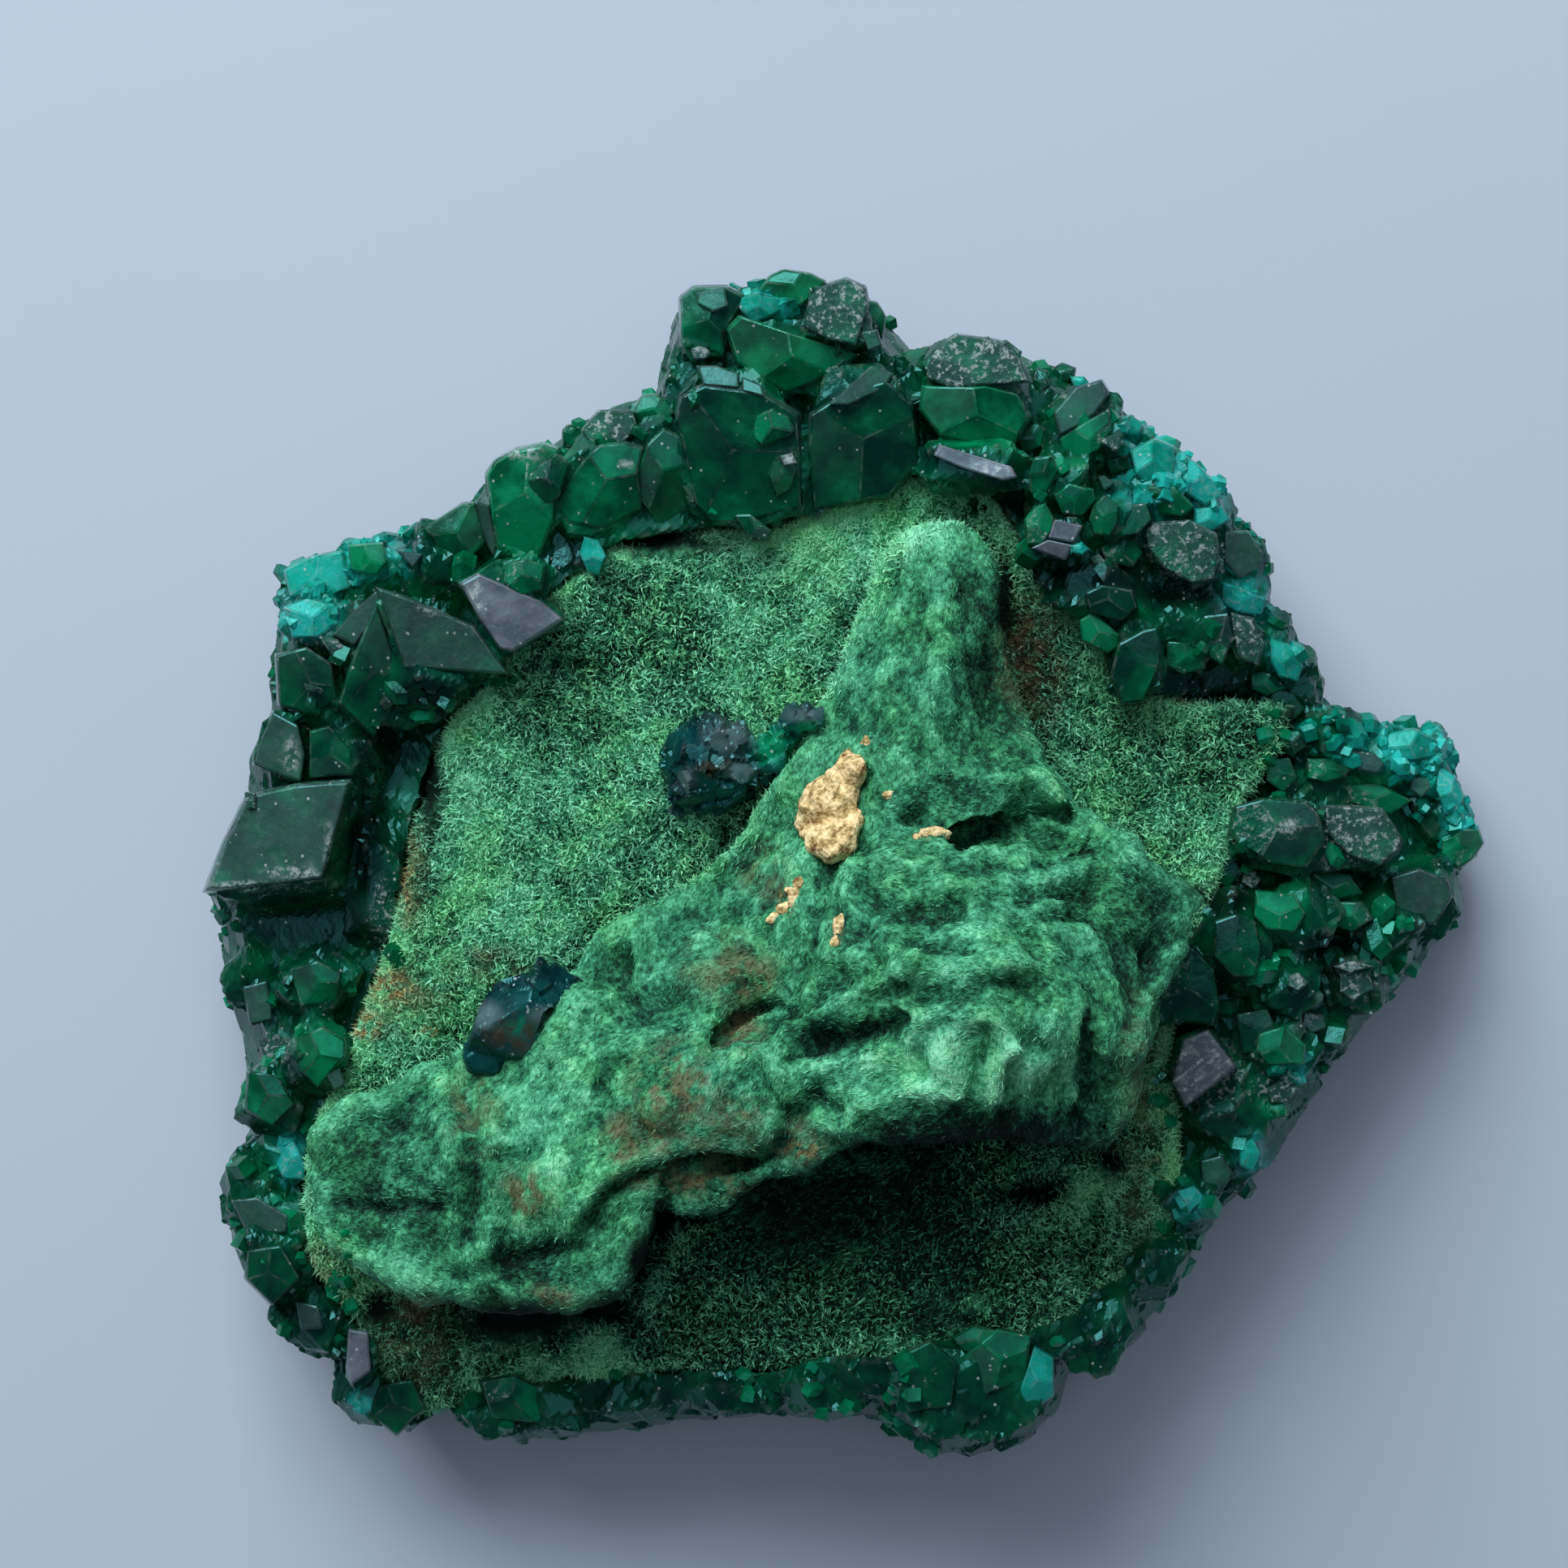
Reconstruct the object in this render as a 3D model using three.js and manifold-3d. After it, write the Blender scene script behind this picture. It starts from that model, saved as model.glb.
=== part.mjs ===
// A hand specimen: a crust of dioptase crystals round a lumpy malachite matrix, lying on its broken back.
import * as THREE from 'three';
import { ConvexGeometry } from 'three/addons/geometries/ConvexGeometry.js';
import { mergeVertices } from 'three/addons/utils/BufferGeometryUtils.js';
import Module from 'manifold-3d';

const wasm = await Module();
wasm.setup();

// Driving dimensions, in millimetres. The specimen is 46 long, about 39 wide and 18 high.
const READING_SCALE = 0.971; // real millimetres for each millimetre read on the plane of sharpest focus
const SHARP_HEIGHT = 6.5; // height of the plane of sharpest focus, on which x and y are read
const EYE_HEIGHT = 113.5; // height of the eye, straight above the point x 0, y 0
const LONG_AXIS_DEG = 35; // the longest direction, from the readings' x axis towards their y axis
const MIDDLE = [-2.593, -3.767]; // middle of the specimen's box, in the readings' axes turned to the long axis
const GAP = 0.3; // clearance between two minerals

// The malachite below the crust.
const FOOT_REACH = 0.6; // the flat foot, as a share of the way out to the rim
const SKIRT_REACH = 0.86; // where the broken back meets the crust
const SKIRT_MARGIN = 1.4; // least reach of the skirt beyond the edge of the malachite
const SKIRT_LIMIT = 0.95;
const SKIRT_HEIGHT = 2.3;
const SKIRT_LUMP = 0.4;
const AIR_REACH = 1.3;
const SHELF_HEIGHT = 3.4; // under the crust's inner side
const EDGE_FLARE = 0.15; // how much wider the malachite's wall is at the shelf than at the top
const AXIS_POINT = [-1, -3]; // the rings round the matrix and the crust are drawn about this point
const RIM_STEPS = 44;
const RELIEF_AREA = [-38, 40, -38, 32];
const GRID_STEP = 1.75; // between the points that carry the malachite's relief
const GRID_JITTER = 0.22;
const MOUND_FOOT = 4; // the hill and the lobe start inside the broad body
const FLOOR_LEVEL = 8;
const FLOOR_LUMP = 0.22; // size of the small lumps on the floors
const HILL_LUMP = 0.3; // and on the hill and the lobe
const OVERHANG_LEVEL = 12; // above this the walls of the hill are no longer undercut
const SKY_LEVEL = 20;
const BELOW_FOOT = -2;

// Dioptase grows as a six sided prism closed by three rhombic faces. Their slope sets these two.
const HIGH_CORNER_DROP = 0.61; // below the tip, as a share of the prism's radius
const LOW_CORNER_DROP = 1.22;

// The rim of the specimen as seen from above, clockwise from the top.
const RIM = [
  [-3.8, 17.0], [-1.3, 17.4], [0.2, 18.2], [1.3, 18.0], [2.7, 17.9], [3.8, 16.4], [4.7, 15.6],
  [6.2, 16.0], [8.0, 15.5], [10.0, 14.9], [11.6, 14.0], [12.9, 12.8], [15.2, 11.0], [17.0, 8.9],
  [17.6, 6.2], [18.9, 3.9], [19.2, 2.9], [20.9, 2.2], [22.9, 2.0], [23.8, 1.0], [24.5, -1.3],
  [25.0, -2.1], [24.1, -3.6], [23.8, -5.3], [22.4, -7.0], [20.9, -8.5], [19.5, -10.2], [18.3, -12.5],
  [17.0, -14.0], [15.4, -15.4], [14.6, -16.9], [13.4, -18.9], [12.0, -20.6], [10.2, -21.2],
  [9.8, -22.4], [8.8, -23.5], [6.8, -24.1], [5.3, -23.9], [3.3, -22.7], [-1.9, -22.6], [-7.7, -23.4],
  [-9.4, -23.6], [-11.7, -22.8], [-12.3, -22.3], [-13.5, -23.4], [-15.2, -21.8], [-16.9, -19.8],
  [-19.0, -18.0], [-19.9, -16.3], [-20.0, -14.0], [-19.2, -12.5], [-19.2, -9.9], [-20.0, -7.3],
  [-20.3, -4.7], [-20.7, -3.6], [-20.0, -1.6], [-19.2, -0.2], [-19.2, 0.9], [-18.4, 2.5], [-18.2, 5.5],
  [-17.8, 7.5], [-15.8, 8.4], [-12.9, 9.2], [-11.2, 10.1], [-10.5, 11.2], [-8.4, 12.1], [-6.4, 13.4],
  [-4.6, 14.0],
];

// Where the malachite gives way to the dioptase crust, clockwise from the top.
const MALACHITE_EDGE = [
  [-3.0, 8.9], [-0.3, 8.8], [1.5, 9.7], [4.5, 11.0], [6.8, 10.5], [8.3, 9.0], [8.8, 6.6], [11.3, 5.8],
  [11.6, 3.1], [13.4, 3.0], [15.4, 3.3], [17.8, 3.0], [18.2, 1.6], [18.0, 0.1], [16.4, -0.4],
  [15.8, -1.6], [15.3, -3.4], [14.6, -4.8], [13.9, -6.6], [13.0, -8.8], [13.8, -10.0], [13.6, -11.4],
  [14.0, -13.0], [13.8, -15.4], [12.9, -17.2], [11.4, -18.8], [9.6, -19.4], [6.6, -19.8], [3.4, -20.3],
  [-1.0, -20.6], [-4.0, -20.6], [-7.6, -20.9], [-10.8, -21.3], [-12.2, -22.4], [-13.3, -22.6],
  [-14.1, -20.4], [-15.0, -19.0], [-16.6, -17.4], [-17.0, -15.0], [-16.8, -12.5], [-15.6, -10.6],
  [-14.9, -8.6], [-13.9, -6.2], [-13.4, -4.2], [-13.0, -1.6], [-12.3, 0.6], [-11.7, 2.4], [-10.2, 3.4],
  [-9.4, 5.2], [-8.0, 6.6], [-6.2, 8.2],
];

// Height of the malachite floors and the lower slope: x, y and height of places that stand for their parts.
const FLOOR_HEIGHTS = [
  [-3, 9, 7.4], [4, 11, 7.8], [-9, 4, 7.9], [-12, 0, 7.6], [-12.6, -5, 7.9], [-5, 4, 7.8], [-8, -2, 8.4],
  [-10, 1, 7.9], [-4, -1, 8.5], [-14, -8, 8.2], [9, 6, 7.4], [10, 2, 7.0], [14, 1, 6.8], [17.5, 2, 6.2],
  [13, -1, 6.9], [15, -3, 6.9], [13.5, -8, 7.4], [13, -10, 7.6], [13.4, -14, 7.2], [12.4, -17, 6.6],
  [8, -14.6, 8.8], [4, -14.4, 9.6], [0, -15.4, 9.8], [-4, -17, 9.4], [4, -17.4, 9.4], [9, -18.2, 8.8],
  [0, -20, 8.4], [-5, -20, 7.6], [-9, -20.4, 6.4], [-12.6, -19.4, 7.4], [-16, -17.8, 7.6],
  [-13, -22.5, 5.4], [6, -19.6, 9.6],
];

// The hill with its ledge and the finger ridge: outline clockwise from the finger's tip, then heights.
const HILL_OUTLINE = [
  [6.3, 9.9], [7.0, 9.2], [7.6, 7.7], [7.9, 5.5], [8.2, 4.0], [8.9, 2.0], [9.5, 0.4], [10.6, -0.9],
  [11.8, -2.1], [13.2, -3.2], [14.5, -4.1], [14.2, -5.2], [13.9, -6.4], [13.1, -8.4], [12.4, -10.3],
  [12.2, -11.9], [11.2, -12.8], [9.8, -12.6], [8.0, -12.4], [6.0, -12.5], [4.0, -12.6], [2.4, -12.7],
  [1.2, -13.4], [-0.6, -13.8], [-2.2, -14.8], [-3.6, -15.0], [-4.8, -14.4], [-6.5, -13.0],
  [-8.0, -11.0], [-8.5, -8.8], [-7.8, -6.8], [-6.6, -5.4], [-4.8, -4.4], [-2.8, -3.0], [-1.3, -1.2],
  [-0.2, 0.4], [0.8, 2.0], [1.8, 4.2], [2.8, 6.6], [3.5, 8.5], [4.4, 9.3], [5.4, 9.8],
];
const HILL_CENTRE = [3, -6];
const HILL_HEIGHTS = [
  [6.2, 9.4, 9.8], [3.6, 8.2, 9.0], [7.4, 6, 10.2], [5.4, 6.2, 10.9], [2.6, 6.2, 9.0], [5.6, 3, 11.6],
  [2.6, 3.6, 10.1], [1.4, 3.2, 9.0], [8.6, 2.2, 10.0], [1.4, 0, 10.8], [-0.6, -0.4, 9.2], [4.5, 0.2, 12.6],
  [7.6, 0, 12.4], [9, -1.7, 10.9], [11.2, -2.4, 11.6], [14.2, -4.4, 11.4], [12.4, -4.6, 13.6],
  [13.4, -7, 12.4], [9, -4.2, 15.2], [5, -3.6, 14.8], [1, -3.4, 12.4], [-2.4, -3.2, 9.6],
  [-6, -5.4, 9.8], [-3.4, -6.6, 12.0], [-1.4, -7.6, 11.6], [1, -6.6, 14.4], [4, -6.8, 17.6],
  [2.6, -8.6, 15.2], [7.4, -7.2, 18.2], [7, -9.4, 17.6], [10, -8.4, 17.0], [11.6, -9.6, 15.2],
  [11.8, -12, 13.4], [9, -11.2, 16.0], [5, -11, 16.8], [2.6, -11.6, 16.0], [-0.4, -11, 15.6],
  [-3.6, -11.8, 14.8], [-3.2, -14.2, 13.0], [0.6, -13, 14.0], [-7, -10, 12.6],
];
const LOBE_OUTLINE = [
  [-4.6, -15.2], [-5.3, -16.8], [-6.0, -18.1], [-7.7, -18.7], [-9.3, -18.8], [-10.8, -18.6],
  [-12.4, -18.0], [-13.8, -17.3], [-15.4, -16.7], [-16.6, -15.7], [-16.9, -14.0], [-16.5, -12.4],
  [-15.4, -11.4], [-14.0, -10.7], [-12.5, -10.0], [-11.0, -9.0], [-9.0, -8.2], [-6.0, -9.0],
  [-4.0, -12.0], [-4.0, -14.0],
];
const LOBE_CENTRE = [-10, -14];
const LOBE_HEIGHTS = [
  [-8, -13, 14.2], [-5.4, -13, 14.4], [-6.4, -16, 14.2], [-8.5, -17.6, 13.2], [-11.5, -17.2, 13.0],
  [-11.4, -13.4, 13.6], [-14, -14, 12.4], [-16.2, -13.6, 10.8], [-15.6, -16, 11.2], [-13.2, -10.8, 9.8],
  [-11, -9.6, 10.0], [-9.4, -11.4, 12.4], [-7, -10, 12.4], [-13, -16, 13.2],
];

// Pockets under the ledge and open joints in it: middle, half sizes and turn about the upright.
const POCKETS = [
  { at: [-8.2, -18.9, 9.0], half: [3.4, 1.5, 2.6], turn: -4 },
  { at: [-4.9, -17.3, 9.4], half: [0.7, 1.9, 2.2], turn: -24 },
  { at: [-4.1, -15.6, 10.2], half: [1.6, 0.5, 2.0], turn: -10 },
  { at: [9.2, -14.6, 8.8], half: [1.9, 0.8, 2.2], turn: 12 },
  { at: [11.8, -13.5, 8.4], half: [0.8, 0.7, 1.6], turn: 0 },
  { at: [-14.3, -18.6, 8.0], half: [1.1, 0.7, 1.6], turn: -20 },
  { at: [-2.6, -13.9, 14.2], half: [3.0, 0.3, 1.5], turn: 14 },
  { at: [8.2, -1.8, 12.2], half: [2.4, 0.55, 1.6], turn: -4 },
  { at: [-1.6, -8.5, 12.8], half: [1.3, 0.35, 1.2], turn: 40 },
];

// Height of the crust between its crystals.
const CRUST_HEIGHTS = [
  [0, 13, 7.0], [-8, 10, 7.0], [-15, 6, 6.2], [-18, -2, 6.0], [-18, -9, 6.2], [-18, -15, 6.0],
  [-14, -22, 4.8], [-10, -22, 5.6], [-5, -22, 6.8], [0, -21.6, 7.8], [4, -22, 8.8], [7, -22, 9.4],
  [10, -20, 8.6], [13, -18, 6.6], [16, -12, 5.8], [19, -6, 5.6], [18, -2, 5.8], [20, 1, 4.0],
  [23.5, -1, 2.7], [18, 4, 4.8], [15, 8, 6.2], [12, 6.5, 7.6], [13, 4.5, 7.2], [10, 13, 6.4],
];

// The lone crystals that stand on the malachite.
const BALL = { at: [-2.6, 0.7, 8.9], radius: 1.75 };
const LIMONITE_OUTLINE = [
  [2.2, 1.3], [2.9, 1.0], [2.7, 0.1], [2.9, -1.0], [2.4, -2.2], [1.8, -2.8], [1.0, -2.3], [0.3, -1.4],
  [0.8, -0.3], [1.5, 0.3],
];
const LIMONITE_CENTRE = [1.8, -0.9];
const LIMONITE_RISE = 0.75; // how far the ochre patch stands above the malachite

// Crystals of the crust, named by where they sit. at is the middle, azimuth and rise point the long axis,
// turn is about that axis. Angles are in degrees.
const TOP_CRYSTALS = [
  { at: [-0.6, 16.9, 7.8], wide: 1.8, long: 3.2, azimuth: 5, rise: 10, turn: 20 },
  { at: [6.7, 11.3, 9.0], wide: 1.9, long: 4.2, azimuth: 4, rise: 4, turn: 32 },
  { at: [4.9, 14.0, 7.4], wide: 2.2, long: 3.4, azimuth: 75, rise: 15, turn: 30 },
];
const UPPER_LEFT_CRYSTALS = [
  { at: [-9.4, 7.3, 9.0], wide: 1.8, long: 2.8, azimuth: 10, rise: 12, turn: 20 },
  { at: [-12.2, 7.8, 7.2], wide: 2.9, long: 3.8, azimuth: 112, rise: 12, turn: 35 },
  { at: [-15.0, 7.3, 6.4], wide: 2.4, long: 3.4, azimuth: 62, rise: 10, turn: 20 },
  { at: [-16.9, 6.9, 5.6], wide: 2.0, long: 2.8, azimuth: 90, rise: 5, turn: 10 },
  { at: [-16.7, 5.8, 7.0], wide: 2.3, long: 2.8, azimuth: 20, rise: 30, turn: 15 },
  { at: [-13.0, 4.2, 7.3], wide: 4.8, long: 6.0, azimuth: 168, rise: 12, turn: 40 },
  { at: [-16.3, 2.9, 6.5], wide: 2.9, long: 3.6, azimuth: 75, rise: 12, turn: 5 },
];
const LEFT_CRYSTALS = [
  { at: [-15.2, 0.9, 7.2], wide: 2.6, long: 3.6, azimuth: 60, rise: 12, turn: 10 },
  { at: [-14.5, -3.6, 7.0], wide: 2.2, long: 4.8, azimuth: 88, rise: 4, turn: 20 },
  { at: [-18.7, -6.7, 5.8], wide: 2.6, long: 3.4, azimuth: 85, rise: 0, turn: 15 },
  { at: [-16.6, -7.2, 7.2], wide: 2.8, long: 3.6, azimuth: 22, rise: 14, turn: 0 },
  { at: [-16.6, -9.7, 7.8], wide: 2.6, long: 3.2, azimuth: 100, rise: 18, turn: 20 },
  { at: [-18.0, -11.1, 6.6], wide: 2.8, long: 3.6, azimuth: 80, rise: 8, turn: 0 },
  { at: [-18.8, -14.4, 6.0], wide: 2.6, long: 3.8, azimuth: 95, rise: 5, turn: 0 },
  { at: [-17.9, -16.4, 6.8], wide: 3.0, long: 4.0, azimuth: 115, rise: 10, turn: 30 },
  { at: [-16.7, -19.0, 6.0], wide: 2.6, long: 3.8, azimuth: 128, rise: 5, turn: 0 },
];
const LOWER_CRYSTALS = [
  { at: [-14.5, -21.6, 5.2], wide: 2.6, long: 3.6, azimuth: 140, rise: 0, turn: 0 },
  { at: [-10.3, -22.2, 5.8], wide: 2.1, long: 3.2, azimuth: 8, rise: 8, turn: 10 },
  { at: [-8.0, -22.2, 6.3], wide: 2.3, long: 3.2, azimuth: 165, rise: 8, turn: 20 },
  { at: [-5.2, -21.7, 7.0], wide: 2.0, long: 3.6, azimuth: 12, rise: 5, turn: 30 },
  { at: [-1.6, -21.6, 7.8], wide: 1.9, long: 3.6, azimuth: 176, rise: 5, turn: 15 },
  { at: [1.6, -21.6, 8.6], wide: 1.9, long: 3.4, azimuth: 172, rise: 8, turn: 20 },
  { at: [11.2, -19.3, 8.2], wide: 2.4, long: 3.8, azimuth: 58, rise: -8, turn: 0 },
  { at: [13.2, -17.0, 7.2], wide: 2.4, long: 3.4, azimuth: 56, rise: -6, turn: 30 },
  { at: [14.4, -14.8, 7.0], wide: 2.4, long: 3.0, azimuth: 45, rise: 8, turn: 10 },
  { at: [15.9, -13.1, 6.3], wide: 2.3, long: 3.2, azimuth: 52, rise: 5, turn: 0 },
  { at: [15.8, -11.6, 6.9], wide: 3.0, long: 4.0, azimuth: 15, rise: 8, turn: 10 },
  { at: [17.6, -9.6, 6.9], wide: 2.6, long: 3.2, azimuth: 5, rise: 10, turn: 0 },
  { at: [19.0, -8.9, 5.6], wide: 2.2, long: 3.0, azimuth: 47, rise: 5, turn: 20 },
];
const RIGHT_CRYSTALS = [
  { at: [16.0, -5.6, 7.3], wide: 3.2, long: 4.2, azimuth: 92, rise: 10, turn: 20 },
  { at: [18.2, -4.9, 7.2], wide: 2.8, long: 3.6, azimuth: 15, rise: 12, turn: 0 },
  { at: [20.1, -6.9, 5.7], wide: 2.8, long: 3.6, azimuth: 160, rise: 8, turn: 0 },
  { at: [17.8, -7.2, 7.0], wide: 2.7, long: 3.4, azimuth: 40, rise: 12, turn: 30 },
  { at: [21.2, -4.9, 5.2], wide: 2.8, long: 4.0, azimuth: 40, rise: 5, turn: 20 },
  { at: [22.7, -4.1, 4.2], wide: 2.9, long: 3.8, azimuth: 62, rise: 5, turn: 0 },
  { at: [18.1, 3.7, 4.6], wide: 2.2, long: 3.4, azimuth: 102, rise: 5, turn: 20 },
  { at: [19.4, 1.6, 4.7], wide: 2.5, long: 3.6, azimuth: 152, rise: 8, turn: 0 },
  { at: [21.1, 0.9, 3.9], wide: 2.6, long: 3.4, azimuth: 30, rise: 5, turn: 30 },
  { at: [22.6, 0.6, 3.2], wide: 2.7, long: 3.6, azimuth: 66, rise: 5, turn: 0 },
  { at: [23.3, -1.2, 3.1], wide: 2.5, long: 3.8, azimuth: 118, rise: 5, turn: 20 },
];
const UPPER_RIGHT_CRYSTALS = [
  { at: [10.5, 12.3, 7.3], wide: 3.0, long: 4.2, azimuth: 46, rise: 9, turn: 20 },
  { at: [11.6, 9.4, 8.4], wide: 2.3, long: 3.0, azimuth: 70, rise: 14, turn: 30 },
  { at: [9.8, 10.8, 8.5], wide: 2.4, long: 3.4, azimuth: 48, rise: 10, turn: 10 },
  { at: [13.0, 10.4, 7.2], wide: 3.0, long: 3.8, azimuth: 42, rise: 8, turn: 0 },
  { at: [14.8, 9.3, 6.2], wide: 2.6, long: 3.5, azimuth: 70, rise: 5, turn: 10 },
  { at: [16.2, 7.4, 5.8], wide: 2.2, long: 3.6, azimuth: 100, rise: 6, turn: 0 },
  { at: [12.5, 4.6, 8.0], wide: 2.2, long: 3.6, azimuth: 96, rise: 10, turn: 10 },
  { at: [10.8, 6.9, 8.3], wide: 2.2, long: 3.4, azimuth: 14, rise: 8, turn: 30 },
  { at: [14.4, 5.6, 7.2], wide: 2.6, long: 3.4, azimuth: 100, rise: 8, turn: 0 },
  { at: [17.2, 5.0, 5.4], wide: 2.1, long: 3.0, azimuth: 102, rise: 5, turn: 10 },
];

// Crystals known by a flat upper face: its corners as seen, the height of its middle, how steeply it
// climbs along x and y, and how far the sides run down, outwards and sideways below it. A crown adds the
// far corners of a second face behind the first.
const FACED_CRYSTALS = [
  {
    face: [[-3.7, 15.6], [-3.6, 17.0], [-2.8, 17.6], [-2.0, 17.3], [-2.1, 15.2]],
    height: 8.8, climb: [0.1, 0.1], depth: 4, spread: 0.15, shift: [0.2, -0.4],
  },
  {
    face: [[0.8, 15.8], [0.9, 17.7], [2.6, 17.8], [3.1, 16.9], [3.0, 15.7]],
    height: 9.4, climb: [-0.05, -0.15], depth: 5, spread: 0.12, shift: [0, -0.5],
  },
  {
    face: [[-1.7, 16.3], [0.8, 16.5], [2.2, 15.1], [0.9, 13.9], [-0.4, 13.9], [-1.5, 15.2]],
    height: 9.0, climb: [0, 0.3], depth: 4, spread: 0.2, shift: [0, -0.3],
  },
  {
    face: [[-3.6, 13.8], [-0.6, 13.9], [0.6, 12.8], [0.8, 9.7], [-1.4, 9.1], [-3.3, 9.8], [-3.9, 11.5]],
    height: 9.0, climb: [0.02, 0.28], depth: 5, spread: 0.08, shift: [0, 0.4],
    crown: [[-3.0, 14.8, 9.2], [-1.0, 14.9, 9.2]],
  },
  {
    face: [[1.1, 13.5], [2.3, 14.0], [4.5, 13.7], [4.9, 11.4], [3.8, 10.3], [1.0, 9.7], [0.8, 12.2]],
    height: 9.1, climb: [-0.04, 0.3], depth: 5, spread: 0.08, shift: [0, 0.4],
    crown: [[1.6, 14.8, 9.4], [3.4, 15.0, 9.2]],
  },
  {
    face: [[-5.3, 12.4], [-4.0, 12.9], [-3.6, 11.5], [-3.4, 9.7], [-4.6, 9.2], [-5.6, 10.2]],
    height: 8.3, climb: [0.05, 0.28], depth: 5, spread: 0.1, shift: [0, 0.3],
    crown: [[-4.9, 13.4, 8.0]],
  },
  {
    face: [[-8.0, 11.4], [-6.6, 12.0], [-5.3, 11.6], [-5.5, 9.6], [-6.4, 9.0], [-7.6, 8.8], [-8.2, 9.8]],
    height: 8.5, climb: [-0.05, 0.24], depth: 5, spread: 0.1, shift: [0, 0.3],
    crown: [[-7.2, 12.6, 7.9], [-6.0, 12.9, 7.9]],
  },
  {
    face: [[-10.6, 10.9], [-10.2, 11.6], [-8.8, 11.9], [-8.0, 11.1], [-8.2, 9.2], [-8.9, 8.0], [-10.3, 8.4]],
    height: 8.6, climb: [0.08, 0.24], depth: 5, spread: 0.1, shift: [0, 0.3],
  },
  {
    face: [[4.9, 14.9], [5.7, 14.5], [8.4, 14.2], [8.8, 12.9], [7.4, 11.9], [5.7, 12.3], [4.9, 13.7]],
    height: 9.2, climb: [0.02, 0.22], depth: 5, spread: 0.1, shift: [0, 0.3],
    crown: [[5.2, 15.6, 8.8], [6.1, 16.1, 8.8], [7.8, 15.8, 8.8], [8.6, 15.0, 8.8]],
  },
  {
    face: [[-11.6, 7.15], [-10.3, 7.9], [-7.8, 5.9], [-9.6, 4.7], [-10.1, 4.75]],
    height: 9.8, climb: [-0.08, 0.14], depth: 4.5, spread: 0.18, shift: [-0.3, 0.3],
  },
  {
    face: [[-16.7, 5.2], [-15.9, 6.4], [-15.0, 6.5], [-15.2, 5.1], [-15.8, 4.5]],
    height: 8.2, climb: [0.1, 0.1], depth: 3, spread: 0.3, shift: [0, 0],
  },
  {
    face: [[-14.5, 6.6], [-12.9, 6.4], [-11.0, 5.5], [-10.0, 4.6], [-10.3, 3.9], [-12.3, 4.4], [-13.8, 4.3]],
    height: 9.4, climb: [0.02, 0.2], depth: 5, spread: 0.2, shift: [-0.2, -0.6],
  },
  {
    face: [[-18.7, 2.2], [-18.1, 2.6], [-17.4, 2.4], [-17.1, 0.3], [-17.5, 0.05], [-18.9, 0.75]],
    height: 7.6, climb: [0.25, 0.05], depth: 4, spread: 0.12, shift: [0, -0.2],
  },
  {
    face: [[-19.1, -0.4], [-17.2, 0.1], [-15.4, 0.2], [-16.0, -1.9], [-16.4, -3.4], [-19.4, -3.9], [-20.6, -3.7]],
    height: 9.0, climb: [0.22, -0.04], depth: 5.4, spread: 0.1, shift: [1.5, -1.9],
  },
  {
    face: [[-15.5, -19.5], [-14.6, -19.5], [-14.5, -21.0], [-15.2, -21.8], [-15.6, -21.0]],
    height: 7.8, climb: [0.05, 0.1], depth: 4, spread: 0.2, shift: [0, 0.3],
  },
  {
    face: [[3.9, -20.9], [5.6, -20.1], [7.8, -20.0], [9.4, -21.0], [9.3, -22.4], [7.9, -23.5], [5.4, -23.5], [4.0, -22.4]],
    height: 11.0, climb: [0, 0.12], depth: 5, spread: 0.04, shift: [0, 0.8],
  },
  {
    face: [[13.8, -10.6], [14.35, -11.45], [16.05, -10.25], [15.15, -8.8], [14.1, -9.1]],
    height: 8.9, climb: [0.05, 0.16], depth: 4, spread: 0.15, shift: [0.2, 0],
  },
  {
    face: [[14.2, -5.6], [15.3, -7.2], [15.4, -8.3], [13.2, -8.6], [13.6, -7.0]],
    height: 8.9, climb: [-0.1, 0.1], depth: 4, spread: 0.12, shift: [0.3, 0.2],
  },
  {
    face: [[16.9, -0.6], [19.0, -0.7], [20.5, -1.0], [22.0, -2.4], [20.9, -3.0], [18.2, -3.2], [16.1, -2.4], [16.1, -1.2]],
    height: 7.7, climb: [-0.22, 0.1], depth: 4, spread: 0.1, shift: [0, -0.5],
  },
  {
    face: [[8.8, 8.2], [8.95, 9.3], [10.5, 9.4], [10.65, 8.2], [9.8, 7.95]],
    height: 9.7, climb: [0.05, 0.1], depth: 3.5, spread: 0.25, shift: [0, 0.2],
  },
  {
    face: [[12.7, 9.1], [14.3, 9.4], [15.2, 8.8], [15.8, 7.6], [14.6, 7.0], [13.2, 8.0]],
    height: 8.7, climb: [-0.1, 0.05], depth: 4.5, spread: 0.15, shift: [-0.2, -0.7],
  },
  {
    face: [[15.8, 5.0], [16.3, 5.9], [17.1, 5.5], [16.9, 4.5], [16.2, 4.3]],
    height: 7.5, climb: [-0.15, 0.1], depth: 3, spread: 0.4, shift: [0, 0],
  },
];

const radians = THREE.MathUtils.degToRad;
const UP = new THREE.Vector3(0, 0, 1);

// A place read at x and y stands nearer the middle the closer it is to the eye.
function seen(x, y, z) {
  const nearness = READING_SCALE * (EYE_HEIGHT - z) / (EYE_HEIGHT - SHARP_HEIGHT);
  return [x * nearness, y * nearness, z];
}

// Small lumps, the same on every run.
function lump(x, y, size, salt) {
  return size * Math.sin(1.9 * x + 2.6 * y + salt) * Math.sin(2.3 * x - 1.7 * y + 2 * salt);
}

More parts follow.
